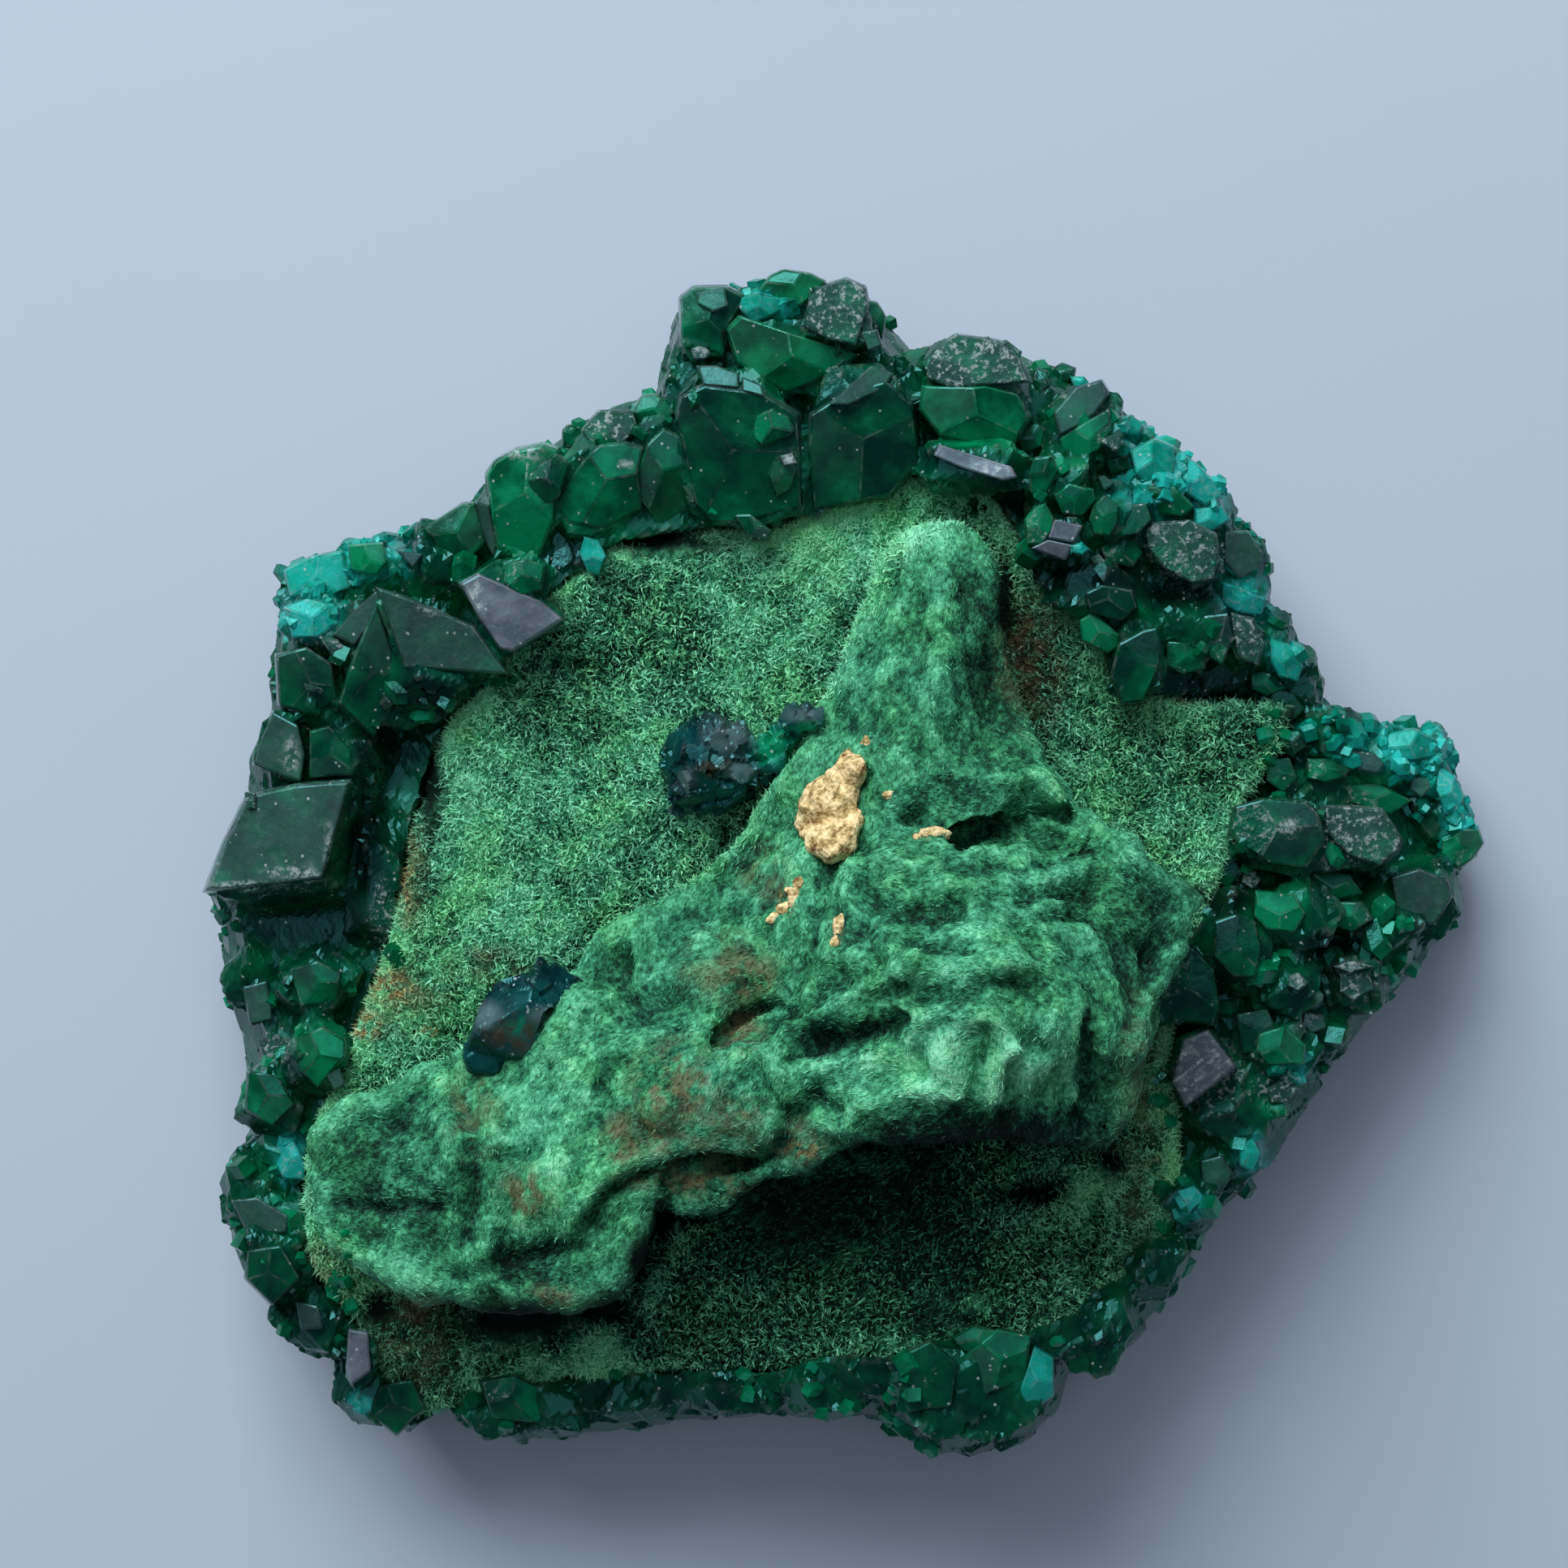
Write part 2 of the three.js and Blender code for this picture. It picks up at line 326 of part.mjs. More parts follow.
// Heights given at a few places, blended smoothly in between.
function blended(places, x, y) {
  const softness = 1.2;
  let sum = 0;
  let total = 0;
  for (const [px, py, height] of places) {
    const near = 1 / ((x - px) ** 2 + (y - py) ** 2 + softness) ** 2;
    sum += near * height;
    total += near;
  }
  return sum / total;
}

// How far an outline reaches from the axis point in one direction.
function reach(outline, angle) {
  const [cx, cy] = AXIS_POINT;
  const [ux, uy] = [Math.cos(angle), Math.sin(angle)];
  let furthest = 0;
  outline.forEach(([ax, ay], index) => {
    const [bx, by] = outline[(index + 1) % outline.length];
    const [ex, ey] = [bx - ax, by - ay];
    const across = ux * ey - uy * ex;
    const distance = ((ax - cx) * ey - (ay - cy) * ex) / across;
    const share = ((ax - cx) * uy - (ay - cy) * ux) / across;
    if (distance > 0 && share >= 0 && share <= 1) furthest = Math.max(furthest, distance);
  });
  return furthest;
}

function fromAxis(distance, angle) {
  return [AXIS_POINT[0] + distance * Math.cos(angle), AXIS_POINT[1] + distance * Math.sin(angle)];
}

function geometryOf(points, faces) {
  const geometry = new THREE.BufferGeometry();
  geometry.setAttribute('position', new THREE.Float32BufferAttribute(points.flat(), 3));
  geometry.setIndex(faces);
  return geometry;
}

// A closed solid of rings of points, each anticlockwise from above, from the lowest ring to the highest.
function stacked(rings, lowest, highest) {
  const around = rings[0].length;
  const points = [lowest, ...rings.flat(), highest];
  const at = (ring, step) => 1 + ring * around + (step % around);
  const faces = [];
  for (let step = 0; step < around; step += 1) {
    faces.push(0, at(0, step + 1), at(0, step));
    for (let ring = 0; ring < rings.length - 1; ring += 1) {
      faces.push(at(ring, step), at(ring, step + 1), at(ring + 1, step + 1));
      faces.push(at(ring, step), at(ring + 1, step + 1), at(ring + 1, step));
    }
    faces.push(points.length - 1, at(rings.length - 1, step), at(rings.length - 1, step + 1));
  }
  return geometryOf(points, faces);
}

// A closed band made of sections placed one after the other round a circle.
function hoop(sections) {
  const across = sections[0].length;
  const at = (section, corner) => (section % sections.length) * across + (corner % across);
  const faces = [];
  sections.forEach((points, section) => {
    for (let corner = 0; corner < points.length; corner += 1) {
      faces.push(at(section, corner), at(section + 1, corner), at(section + 1, corner + 1));
      faces.push(at(section, corner), at(section + 1, corner + 1), at(section, corner + 1));
    }
  });
  return geometryOf(sections.flat(), faces);
}

// Solids for joining and cutting, and back.
function solid(geometry) {
  geometry.deleteAttribute('normal');
  geometry.deleteAttribute('uv');
  const merged = mergeVertices(geometry, 1e-5);
  const vertProperties = new Float32Array(merged.attributes.position.array);
  const triVerts = new Uint32Array(merged.index.array);
  return new wasm.Manifold(new wasm.Mesh({ numProp: 3, vertProperties, triVerts }));
}

function joined(solids) {
  return solids.reduce((whole, piece) => whole.add(piece));
}

function surface(body) {
  const mesh = body.getMesh();
  const geometry = new THREE.BufferGeometry();
  geometry.setAttribute('position', new THREE.Float32BufferAttribute(mesh.vertProperties, 3));
  geometry.setIndex(Array.from(mesh.triVerts));
  geometry.computeVertexNormals();
  return geometry;
}

// A block whose top is a grid of heights, closed by a flat base.
function relief(height, base) {
  const [left, right, near, far] = RELIEF_AREA;
  const columns = Math.round((right - left) / GRID_STEP);
  const rows = Math.round((far - near) / GRID_STEP);
  const points = [];
  const faces = [];
  const at = (row, column) => row * (columns + 1) + column;
  for (let row = 0; row <= rows; row += 1) {
    for (let column = 0; column <= columns; column += 1) {
      const x = left + GRID_STEP * (column + GRID_JITTER * Math.sin(7.1 * row + 3.7 * column));
      const y = near + GRID_STEP * (row + GRID_JITTER * Math.sin(5.3 * column - 2.9 * row));
      points.push(seen(x, y, height(x, y)));
    }
  }
  for (let row = 0; row < rows; row += 1) {
    for (let column = 0; column < columns; column += 1) {
      const [a, b] = [at(row, column), at(row, column + 1)];
      const [c, d] = [at(row + 1, column + 1), at(row + 1, column)];
      faces.push(...((row + column) % 2 ? [a, b, c, a, c, d] : [a, b, d, b, c, d]));
    }
  }
  const edge = [];
  for (let column = 0; column < columns; column += 1) edge.push(at(0, column));
  for (let row = 0; row < rows; row += 1) edge.push(at(row, columns));
  for (let column = columns; column > 0; column -= 1) edge.push(at(rows, column));
  for (let row = rows; row > 0; row -= 1) edge.push(at(row, 0));
  const below = points.length;
  edge.forEach((corner) => points.push([points[corner][0], points[corner][1], base]));
  points.push([0, 0, base]);
  edge.forEach((corner, index) => {
    const next = (index + 1) % edge.length;
    faces.push(corner, below + index, below + next, corner, below + next, edge[next]);
    faces.push(below + next, below + index, points.length - 1);
  });
  return solid(geometryOf(points, faces));
}

// A stack of rings round the axis point: each gives its distance and its height at every angle.
function ringsAround(rings) {
  const angles = Array.from({ length: RIM_STEPS }, (_, step) => (2 * Math.PI * step) / RIM_STEPS);
  const placed = rings.map(([distance, height]) => angles.map((angle) => {
    const [x, y] = fromAxis(distance(angle), angle);
    return seen(x, y, height(x, y));
  }));
  const middle = ([, height]) => seen(...AXIS_POINT, height(...AXIS_POINT));
  return solid(stacked(placed, middle(rings[0]), middle(rings[rings.length - 1])));
}

const rimAt = (angle) => reach(RIM, angle);
const edgeAt = (angle) => reach(MALACHITE_EDGE, angle);
function skirtAt(angle) {
  const underCrust = Math.min(edgeAt(angle) + SKIRT_MARGIN, SKIRT_LIMIT * rimAt(angle));
  return Math.max(SKIRT_REACH * rimAt(angle), underCrust);
}

// The broad malachite body: flat foot, broken back, skirt under the crust, and wall.
function bodyColumn() {
  return ringsAround([
    [(angle) => FOOT_REACH * rimAt(angle), () => 0],
    [skirtAt, (x, y) => SKIRT_HEIGHT + lump(x, y, SKIRT_LUMP, 1)],
    [(angle) => edgeAt(angle) + EDGE_FLARE, () => SHELF_HEIGHT],
    [edgeAt, () => SKY_LEVEL],
  ]);
}

// The space that the crust keeps out of: the air beyond it, the broken back and the malachite's wall, with
// clearance. The rings of its top are given by the caller.
function spaceUnderCrust(topRings) {
  const out = (share) => (angle) => share * rimAt(angle);
  const part = (share) => (x, y) => share * blended(CRUST_HEIGHTS, x, y);
  return ringsAround([
    [out(AIR_REACH), () => -1],
    [out(AIR_REACH), part(0.9)],
    [out(1.01), part(0.52)],
    [(angle) => skirtAt(angle) + GAP, () => SKIRT_HEIGHT + SKIRT_LUMP + GAP],
    [(angle) => edgeAt(angle) + EDGE_FLARE + GAP, () => SHELF_HEIGHT + GAP],
    ...topRings,
  ]);
}

// A straight wall up to the sky, for the small pieces that rest on the malachite.
function spaceInsideWall() {
  return spaceUnderCrust([[(angle) => edgeAt(angle) + GAP, () => SKY_LEVEL]]);
}

// Only up to the malachite floors and their lumps, for the crystals that reach over them.
function spaceUnderCrystals() {
  const overFloor = (x, y) => blended(FLOOR_HEIGHTS, x, y) + FLOOR_LUMP + GAP + 0.1;
  return spaceUnderCrust([
    [(angle) => edgeAt(angle) + GAP, overFloor],
    [(angle) => 0.75 * edgeAt(angle), overFloor],
  ]);
}

// A column with an outline of its own, undercut near its foot.
function outlineColumn(outline, centre, grow) {
  const points = [...outline].reverse();
  const [cx, cy] = centre;
  const ring = (share, height) => points.map(([px, py]) => {
    const scale = share * (1 + grow / Math.hypot(px - cx, py - cy));
    return seen(cx + scale * (px - cx), cy + scale * (py - cy), height);
  });
  const rings = [ring(0.9, MOUND_FOOT), ring(0.955, FLOOR_LEVEL), ring(1, OVERHANG_LEVEL), ring(1, SKY_LEVEL)];
  return solid(stacked(rings, seen(cx, cy, MOUND_FOOT), seen(cx, cy, SKY_LEVEL)));
}

function pocket({ at, half, turn }) {
  const geometry = new THREE.SphereGeometry(1, 8, 5);
  geometry.scale(...half);
  geometry.rotateZ(radians(turn));
  geometry.translate(...seen(...at));
  return solid(geometry);
}

const floorHeight = (x, y) => blended(FLOOR_HEIGHTS, x, y) + lump(x, y, FLOOR_LUMP, 2);
const hillHeight = (x, y) => blended(HILL_HEIGHTS, x, y) + lump(x, y, HILL_LUMP, 3);
const lobeHeight = (x, y) => blended(LOBE_HEIGHTS, x, y) + lump(x, y, HILL_LUMP, 3);

// The floors and the raised malachite, within a body of any width.
function malachiteForm(body, grow) {
  const floors = relief((x, y) => floorHeight(x, y) + grow, BELOW_FOOT);
  const hills = relief((x, y) => hillHeight(x, y) + grow, MOUND_FOOT - 1);
  const lobes = relief((x, y) => lobeHeight(x, y) + grow, MOUND_FOOT - 1);
  return joined([
    body.intersect(floors),
    outlineColumn(HILL_OUTLINE, HILL_CENTRE, grow).intersect(hills),
    outlineColumn(LOBE_OUTLINE, LOBE_CENTRE, grow).intersect(lobes),
  ]);
}

// One dioptase crystal: a six sided prism closed at both ends by three rhombic faces.
function crystal({ at, wide, long, azimuth, rise, turn }) {
  const radius = wide / 2;
  const half = long / 2;
  const corners = [new THREE.Vector3(0, 0, half), new THREE.Vector3(0, 0, -half)];
  for (let corner = 0; corner < 6; corner += 1) {
    const angle = radians(60 * corner + turn);
    const [x, y] = [radius * Math.cos(angle), radius * Math.sin(angle)];
    const isHigh = corner % 2 === 0;
    corners.push(new THREE.Vector3(x, y, half - radius * (isHigh ? HIGH_CORNER_DROP : LOW_CORNER_DROP)));
    corners.push(new THREE.Vector3(x, y, radius * (isHigh ? LOW_CORNER_DROP : HIGH_CORNER_DROP) - half));
  }
  const [azimuthAngle, riseAngle] = [radians(azimuth), radians(rise)];
  const axis = new THREE.Vector3(
    Math.cos(riseAngle) * Math.cos(azimuthAngle),
    Math.cos(riseAngle) * Math.sin(azimuthAngle),
    Math.sin(riseAngle),
  );
  const geometry = new ConvexGeometry(corners);
  geometry.applyQuaternion(new THREE.Quaternion().setFromUnitVectors(UP, axis));
  geometry.translate(...seen(...at));
  return solid(geometry);
}

// A crystal known by its flat upper face. The sides run down from the face to a wider base.
function facedCrystal({ face, height, climb, depth, spread, shift, crown = [] }) {
  const middle = [0, 1].map((axis) => face.reduce((sum, corner) => sum + corner[axis], 0) / face.length);
  const top = face.map(([x, y]) => {
    const rise = climb[0] * (x - middle[0]) + climb[1] * (y - middle[1]);
    return new THREE.Vector3(...seen(x, y, height)).setZ(height + rise);
  });
  const centre = new THREE.Vector3(...seen(...middle, height));
  const base = top.map((corner) => {
    const out = corner.clone().sub(centre).multiplyScalar(1 + spread);
    return centre.clone().add(out).add(new THREE.Vector3(...shift, -depth));
  });
  const behind = crown.map((corner) => new THREE.Vector3(...seen(...corner)));
  return solid(new ConvexGeometry([...top, ...base, ...behind]));
}

// The continuous crust that the rim crystals grow from.
function crustBand() {
  return solid(hoop([...RIM].reverse().map(([x, y]) => {
    const angle = Math.atan2(y - AXIS_POINT[1], x - AXIS_POINT[0]);
    const rim = Math.hypot(y - AXIS_POINT[1], x - AXIS_POINT[0]);
    const inner = edgeAt(angle) - 1.2;
    const corner = (distance, share, size) => {
      const [px, py] = fromAxis(distance, angle);
      return seen(px, py, share * blended(CRUST_HEIGHTS, px, py) + lump(px, py, size, 5));
    };
    return [
      corner(inner, 0.2, 0),
      corner(0.98 * rim, 0.3, 0),
      corner(0.99 * rim, 0.72, 0.1),
      corner(0.95 * rim, 1.08, 0.2),
      corner(Math.min(edgeAt(angle) + 0.1, 0.9 * rim), 1.14, 0.2),
    ];
  })));
}

function dioptaseCrust(clearance) {
  const crystals = [
    ...TOP_CRYSTALS, ...UPPER_LEFT_CRYSTALS, ...LEFT_CRYSTALS, ...LOWER_CRYSTALS, ...RIGHT_CRYSTALS,
    ...UPPER_RIGHT_CRYSTALS,
  ];
  const whole = joined([crustBand(), ...crystals.map(crystal), ...FACED_CRYSTALS.map(facedCrystal)]);
  return whole.subtract(clearance);
}

// The dark round cluster on the upper floor with the bright crystal beside it.
function ballCluster(clearance) {
  const ball = new THREE.IcosahedronGeometry(BALL.radius, 1);
  ball.rotateX(0.4);
  ball.rotateY(0.3);
  ball.translate(...seen(...BALL.at));
  const bright = [
    { at: [-0.3, 1.2, 9.4], wide: 1.5, long: 2.6, azimuth: 30, rise: 12, turn: 10 },
    { at: [0.6, 2.3, 9.8], wide: 1.2, long: 1.7, azimuth: 10, rise: 10, turn: 20 },
    { at: [-2.4, 1.6, 9.7], wide: 1.5, long: 2.0, azimuth: 0, rise: 25, turn: 5 },
    { at: [-3.4, -0.2, 9.0], wide: 1.5, long: 2.0, azimuth: 70, rise: 15, turn: 15 },
  ];
  return joined([solid(ball), ...bright.map(crystal)]).subtract(clearance);
}

function ledgeCrystal(clearance) {
  const main = { at: [-9.2, -8.4, 10.9], wide: 2.9, long: 4.9, azimuth: 32, rise: 4, turn: 12 };
  const lower = { at: [-10.5, -9.7, 10.7], wide: 1.8, long: 2.4, azimuth: 100, rise: 5, turn: 0 };
  return joined([crystal(main), crystal(lower)]).subtract(clearance);
}

function limonitePatch(clearance) {
  const points = [...LIMONITE_OUTLINE].reverse();
  const [cx, cy] = LIMONITE_CENTRE;
  const ring = (share, rise) => points.map(([px, py]) => {
    const [x, y] = [cx + share * (px - cx), cy + share * (py - cy)];
    return seen(x, y, hillHeight(x, y) + rise);
  });
  const rings = [
    ring(0.9, -1),
    ring(1, 0.4 * LIMONITE_RISE),
    ring(0.8, LIMONITE_RISE),
    ring(0.4, LIMONITE_RISE + 0.15),
  ];
  const middle = hillHeight(cx, cy);
  const patch = stacked(rings, seen(cx, cy, middle - 1), seen(cx, cy, middle + LIMONITE_RISE + 0.2));
  return solid(patch).subtract(clearance);
}

function piece(name, body, colour, roughness) {
  const material = new THREE.MeshStandardMaterial({ color: colour, roughness, metalness: 0 });
  const mesh = new THREE.Mesh(surface(body), material);
  mesh.name = name;
  return mesh;
}

const reliefClear = malachiteForm(spaceInsideWall(), GAP);
const crustClear = joined([
  spaceUnderCrystals(),
  outlineColumn(HILL_OUTLINE, HILL_CENTRE, GAP),
  outlineColumn(LOBE_OUTLINE, LOBE_CENTRE, GAP),
]);
const matrix = POCKETS.map(pocket).reduce((rest, hole) => rest.subtract(hole), malachiteForm(bodyColumn(), 0));

const specimen = new THREE.Group();
specimen.add(
  piece('malachite_matrix', matrix, 0x2c6b47, 0.85),
  piece('dioptase_crust', dioptaseCrust(crustClear), 0x06402c, 0.15),
  piece('dioptase_ball_cluster', ballCluster(reliefClear), 0x0a4a3a, 0.2),
  piece('ledge_crystal', ledgeCrystal(reliefClear), 0x0b3a35, 0.25),
  piece('limonite_patch', limonitePatch(reliefClear), 0xc9a765, 0.95),
);

// The long axis lies along x, and the box's middle stands on the origin.
specimen.rotation.z = -radians(LONG_AXIS_DEG);
specimen.position.set(-MIDDLE[0], -MIDDLE[1], 0);

export default specimen;
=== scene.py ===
import math

import bmesh
import bpy
import numpy as np
from mathutils import Matrix, Vector
from mathutils.bvhtree import BVHTree


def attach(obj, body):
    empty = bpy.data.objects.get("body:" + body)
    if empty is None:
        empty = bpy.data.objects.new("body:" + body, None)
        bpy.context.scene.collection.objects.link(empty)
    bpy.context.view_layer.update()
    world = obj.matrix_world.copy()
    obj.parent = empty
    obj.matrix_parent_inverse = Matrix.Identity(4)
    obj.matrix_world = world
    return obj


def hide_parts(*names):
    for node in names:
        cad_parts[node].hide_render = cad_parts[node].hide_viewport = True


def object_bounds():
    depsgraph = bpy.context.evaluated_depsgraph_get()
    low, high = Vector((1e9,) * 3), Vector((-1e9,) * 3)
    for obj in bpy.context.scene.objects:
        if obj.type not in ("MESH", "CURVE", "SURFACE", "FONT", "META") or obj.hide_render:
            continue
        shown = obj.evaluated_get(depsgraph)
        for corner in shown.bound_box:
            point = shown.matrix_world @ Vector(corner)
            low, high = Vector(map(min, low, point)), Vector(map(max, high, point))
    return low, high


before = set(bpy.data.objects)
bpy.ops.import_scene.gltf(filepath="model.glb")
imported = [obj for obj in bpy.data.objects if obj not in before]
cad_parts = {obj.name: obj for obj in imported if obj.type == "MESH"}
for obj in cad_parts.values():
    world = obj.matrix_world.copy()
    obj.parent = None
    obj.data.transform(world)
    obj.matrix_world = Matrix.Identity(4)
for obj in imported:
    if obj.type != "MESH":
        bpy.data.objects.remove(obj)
cad_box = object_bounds()

MM = 0.001
ALLOWED_ABOVE = 0.42  # how far the looks may stand above the solids, in millimetres
HIGHEST = cad_box[1][2] + ALLOWED_ABOVE * MM

# The places below are read from straight above, in millimetres on the plane of sharpest focus. These carry
# them into the frame, as the CAD source does.
READING_SCALE = 0.971
SHARP_HEIGHT = 6.5
EYE_HEIGHT = 113.5
LONG_AXIS = math.radians(35)
MIDDLE = (-2.593, -3.767)
# Where the camera stands, in metres in the frame.
EYE = Vector((-MIDDLE[0] * MM, -MIDDLE[1] * MM, EYE_HEIGHT * MM))

# Sizes of the faces that the nodes are remeshed into, in millimetres.
MATRIX_VOXEL = 0.21
CRUST_VOXEL = 0.19
FINE_VOXEL = 0.1

# Painted shade between the needles: the floors are painted darker there, and the needles get it back.
GAP_SHADE = 0.26  # how much darker the floors are between their needles
HILL_FOOT = 8.4  # above this height the malachite is hill, and below it floor
HILL_NEEDLES = 9.0  # above this height the needles lie along the folds of the hill
NEEDLES = 64000  # in each of the two pieces

# Folds of the hill: points along each one, height at its middle, half width. Those below are furrows.
RIDGES = [
    ([(0.2, -9.0), (1.2, -8.4), (2.2, -7.8), (3.4, -7.1), (4.6, -6.4)], 0.42, 0.3),
    ([(4.6, -6.4), (5.8, -6.6), (7.6, -6.5), (9.2, -6.6), (10.2, -7.1), (10.4, -8.0)], 0.3, 0.35),
    ([(2.6, -4.6), (2.3, -3.9), (2.4, -3.1), (3.6, -2.9), (5.2, -3.0)], 0.3, 0.35),
    ([(5.6, -3.6), (6.8, -3.7), (7.6, -3.4)], 0.25, 0.4),
    ([(4.3, -7.8), (4.8, -8.4), (5.8, -8.2), (7.0, -8.2), (7.7, -8.6), (7.9, -9.3)], 0.32, 0.28),
    ([(7.9, -9.2), (7.6, -9.9), (7.4, -10.9)], 0.35, 0.25),
    ([(5.7, -8.9), (5.8, -10.0), (6.0, -10.9)], 0.3, 0.3),
    ([(8.9, -9.9), (9.4, -9.4), (9.8, -8.8), (10.1, -9.8), (10.2, -11.0)], 0.32, 0.35),
    ([(8.3, -9.9), (8.6, -10.9)], 0.25, 0.25),
    ([(9.2, -7.3), (9.6, -8.0), (9.2, -8.7)], 0.25, 0.28),
    ([(14.6, -4.3), (14.1, -5.4), (13.5, -6.6), (12.8, -7.6), (12.5, -8.8), (12.1, -10.0), (11.9, -11.4),
      (11.6, -12.2), (10.8, -12.4)], 0.3, 0.3),
    ([(11.2, -2.1), (12.0, -2.4), (12.6, -3.1), (13.6, -3.7), (14.5, -4.3)], 0.38, 0.25),
    ([(2.3, -12.2), (2.4, -11.5), (3.4, -11.3), (4.6, -10.9), (6.2, -10.9)], 0.3, 0.35),
    ([(-14.0, -11.4), (-13.2, -10.7), (-12.2, -10.2)], 0.3, 0.35),
    ([(-16.6, -13.0), (-16.2, -12.0), (-15.2, -11.4), (-14.2, -11.6)], 0.25, 0.35),
    ([(-16.4, -16.1), (-15.2, -16.5), (-14.2, -17.0), (-13.0, -17.8), (-12.2, -17.8)], 0.45, 0.35),
    ([(-10.2, -13.0), (-10.5, -12.2), (-9.9, -10.8), (-9.0, -9.6), (-8.0, -8.6), (-7.2, -7.6),
      (-6.6, -6.6), (-6.0, -5.2)], 0.3, 0.6),
    ([(-7.2, -15.2), (-6.4, -14.0), (-5.0, -13.4), (-4.0, -12.9), (-3.0, -12.6), (-1.4, -12.8)], 0.35, 0.4),
    ([(-10.6, -15.8), (-10.5, -17.0), (-9.8, -18.1)], 0.25, 0.35),
    ([(-9.4, -18.2), (-8.2, -18.4), (-6.6, -18.2), (-5.8, -17.6), (-5.4, -16.6), (-4.9, -15.6)], 0.2, 0.4),
    ([(-3.6, -14.9), (-2.4, -15.1), (-1.4, -14.8), (-0.4, -14.2), (0.8, -13.6)], 0.3, 0.35),
    ([(-6.4, -9.7), (-5.3, -9.2), (-4.2, -8.8)], 0.25, 0.28),
    ([(-7.8, -15.8), (-7.9, -13.6), (-7.6, -11.6), (-6.6, -9.8)], 0.25, 0.45),
    ([(-9.2, -15.6), (-8.9, -13.8), (-8.9, -11.8)], 0.2, 0.4),
    ([(-4.6, -12.0), (-3.6, -10.4), (-3.0, -8.8), (-2.4, -7.6)], 0.22, 0.35),
    ([(-2.9, -12.0), (-2.6, -10.6), (-1.6, -9.6)], 0.2, 0.35),
    ([(4.1, 9.2), (4.3, 7.4), (3.9, 5.4), (3.4, 3.4), (2.8, 1.2)], 0.2, 0.5),
    ([(5.6, 8.6), (5.7, 6.4), (5.6, 4.4), (5.8, 2.6)], 0.2, 0.4),
    ([(9.0, 0.4), (10.0, -0.6), (11.0, -1.4), (12.0, -2.0), (13.0, -2.5), (14.4, -3.1)], 0.25, 0.25),
    ([(8.2, -2.0), (9.2, -3.4), (10.6, -3.2), (11.6, -2.8)], 0.25, 0.4),
    ([(10.6, -5.4), (11.4, -6.6), (11.8, -8.0), (11.3, -9.4)], 0.22, 0.35),
    ([(-0.6, -12.2), (-0.2, -10.8), (0.0, -9.6)], 0.25, 0.35),
    ([(1.6, -6.2), (2.6, -6.2)], 0.3, 0.35),
]
FURROWS = [
    ([(0.4, -9.6), (1.4, -9.2), (2.6, -9.1), (3.6, -8.8), (4.2, -8.3)], 0.6, 0.4),
    ([(5.8, -1.5), (6.4, -1.9), (7.2, -1.6), (8.0, -1.2), (9.2, -1.2), (10.2, -1.0)], 0.6, 0.3),
    ([(4.3, -1.2), (4.8, -1.1)], 0.5, 0.25),
    ([(9.0, -2.8), (9.8, -2.6), (10.6, -2.3), (11.0, -1.9)], 0.4, 0.28),
    ([(3.2, -4.2), (4.0, -4.6), (5.4, -4.8), (6.2, -4.6)], 0.4, 0.4),
    ([(8.5, -4.2), (9.6, -3.9), (10.8, -4.0)], 0.3, 0.28),
    ([(9.2, -4.7), (10.6, -4.7), (11.6, -5.3)], 0.3, 0.25),
    ([(6.5, -6.0), (7.2, -5.9)], 0.35, 0.25),
    ([(7.0, -7.2), (8.2, -7.0), (9.1, -7.3)], 0.35, 0.22),
    ([(6.6, -9.0), (7.1, -8.8), (7.2, -9.4), (6.8, -10.6)], 0.4, 0.26),
    ([(4.8, -9.6), (5.0, -10.3)], 0.3, 0.25),
    ([(10.8, -8.4), (10.8, -10.0), (10.7, -11.6)], 0.5, 0.3),
    ([(8.0, -10.0), (8.0, -10.9)], 0.3, 0.2),
    ([(0.4, -11.8), (1.2, -11.2), (1.8, -11.7)], 0.5, 0.35),
    ([(3.2, -6.2), (4.2, -7.4)], 0.35, 0.3),
    ([(-10.4, -13.4), (-9.6, -13.2), (-8.8, -13.0)], 0.35, 0.3),
    ([(-10.2, -17.2), (-9.2, -16.8), (-8.0, -16.6), (-7.2, -16.4)], 0.3, 0.35),
    ([(-7.0, -15.6), (-6.4, -14.6), (-5.4, -14.1), (-4.4, -13.8), (-3.4, -13.4), (-2.4, -13.3),
      (-1.4, -13.5)], 0.8, 0.22),
    ([(-2.2, -6.2), (-1.2, -6.0)], 0.35, 0.22),
    ([(-2.4, -9.0), (-1.6, -8.4), (-0.8, -8.0), (-0.3, -7.9)], 0.4, 0.22),
    ([(-15.6, -14.9), (-14.6, -15.2), (-13.6, -15.0), (-12.4, -15.2)], 0.35, 0.3),
    ([(-11.6, -11.2), (-10.9, -12.4), (-11.0, -14.0), (-11.2, -16.0)], 0.35, 0.35),
    ([(-8.5, -4.6), (-7.3, -3.9), (-6.0, -3.0)], 0.35, 0.35),
    ([(-5.6, -5.4), (-5.8, -7.2), (-5.0, -8.2)], 0.3, 0.35),
    ([(2.2, 0.2), (1.8, -2.0), (1.2, -4.4), (0.6, -6.4)], 0.3, 0.4),
    ([(-12.4, -9.4), (-11.8, -10.4), (-11.9, -11.4)], 0.25, 0.3),
]
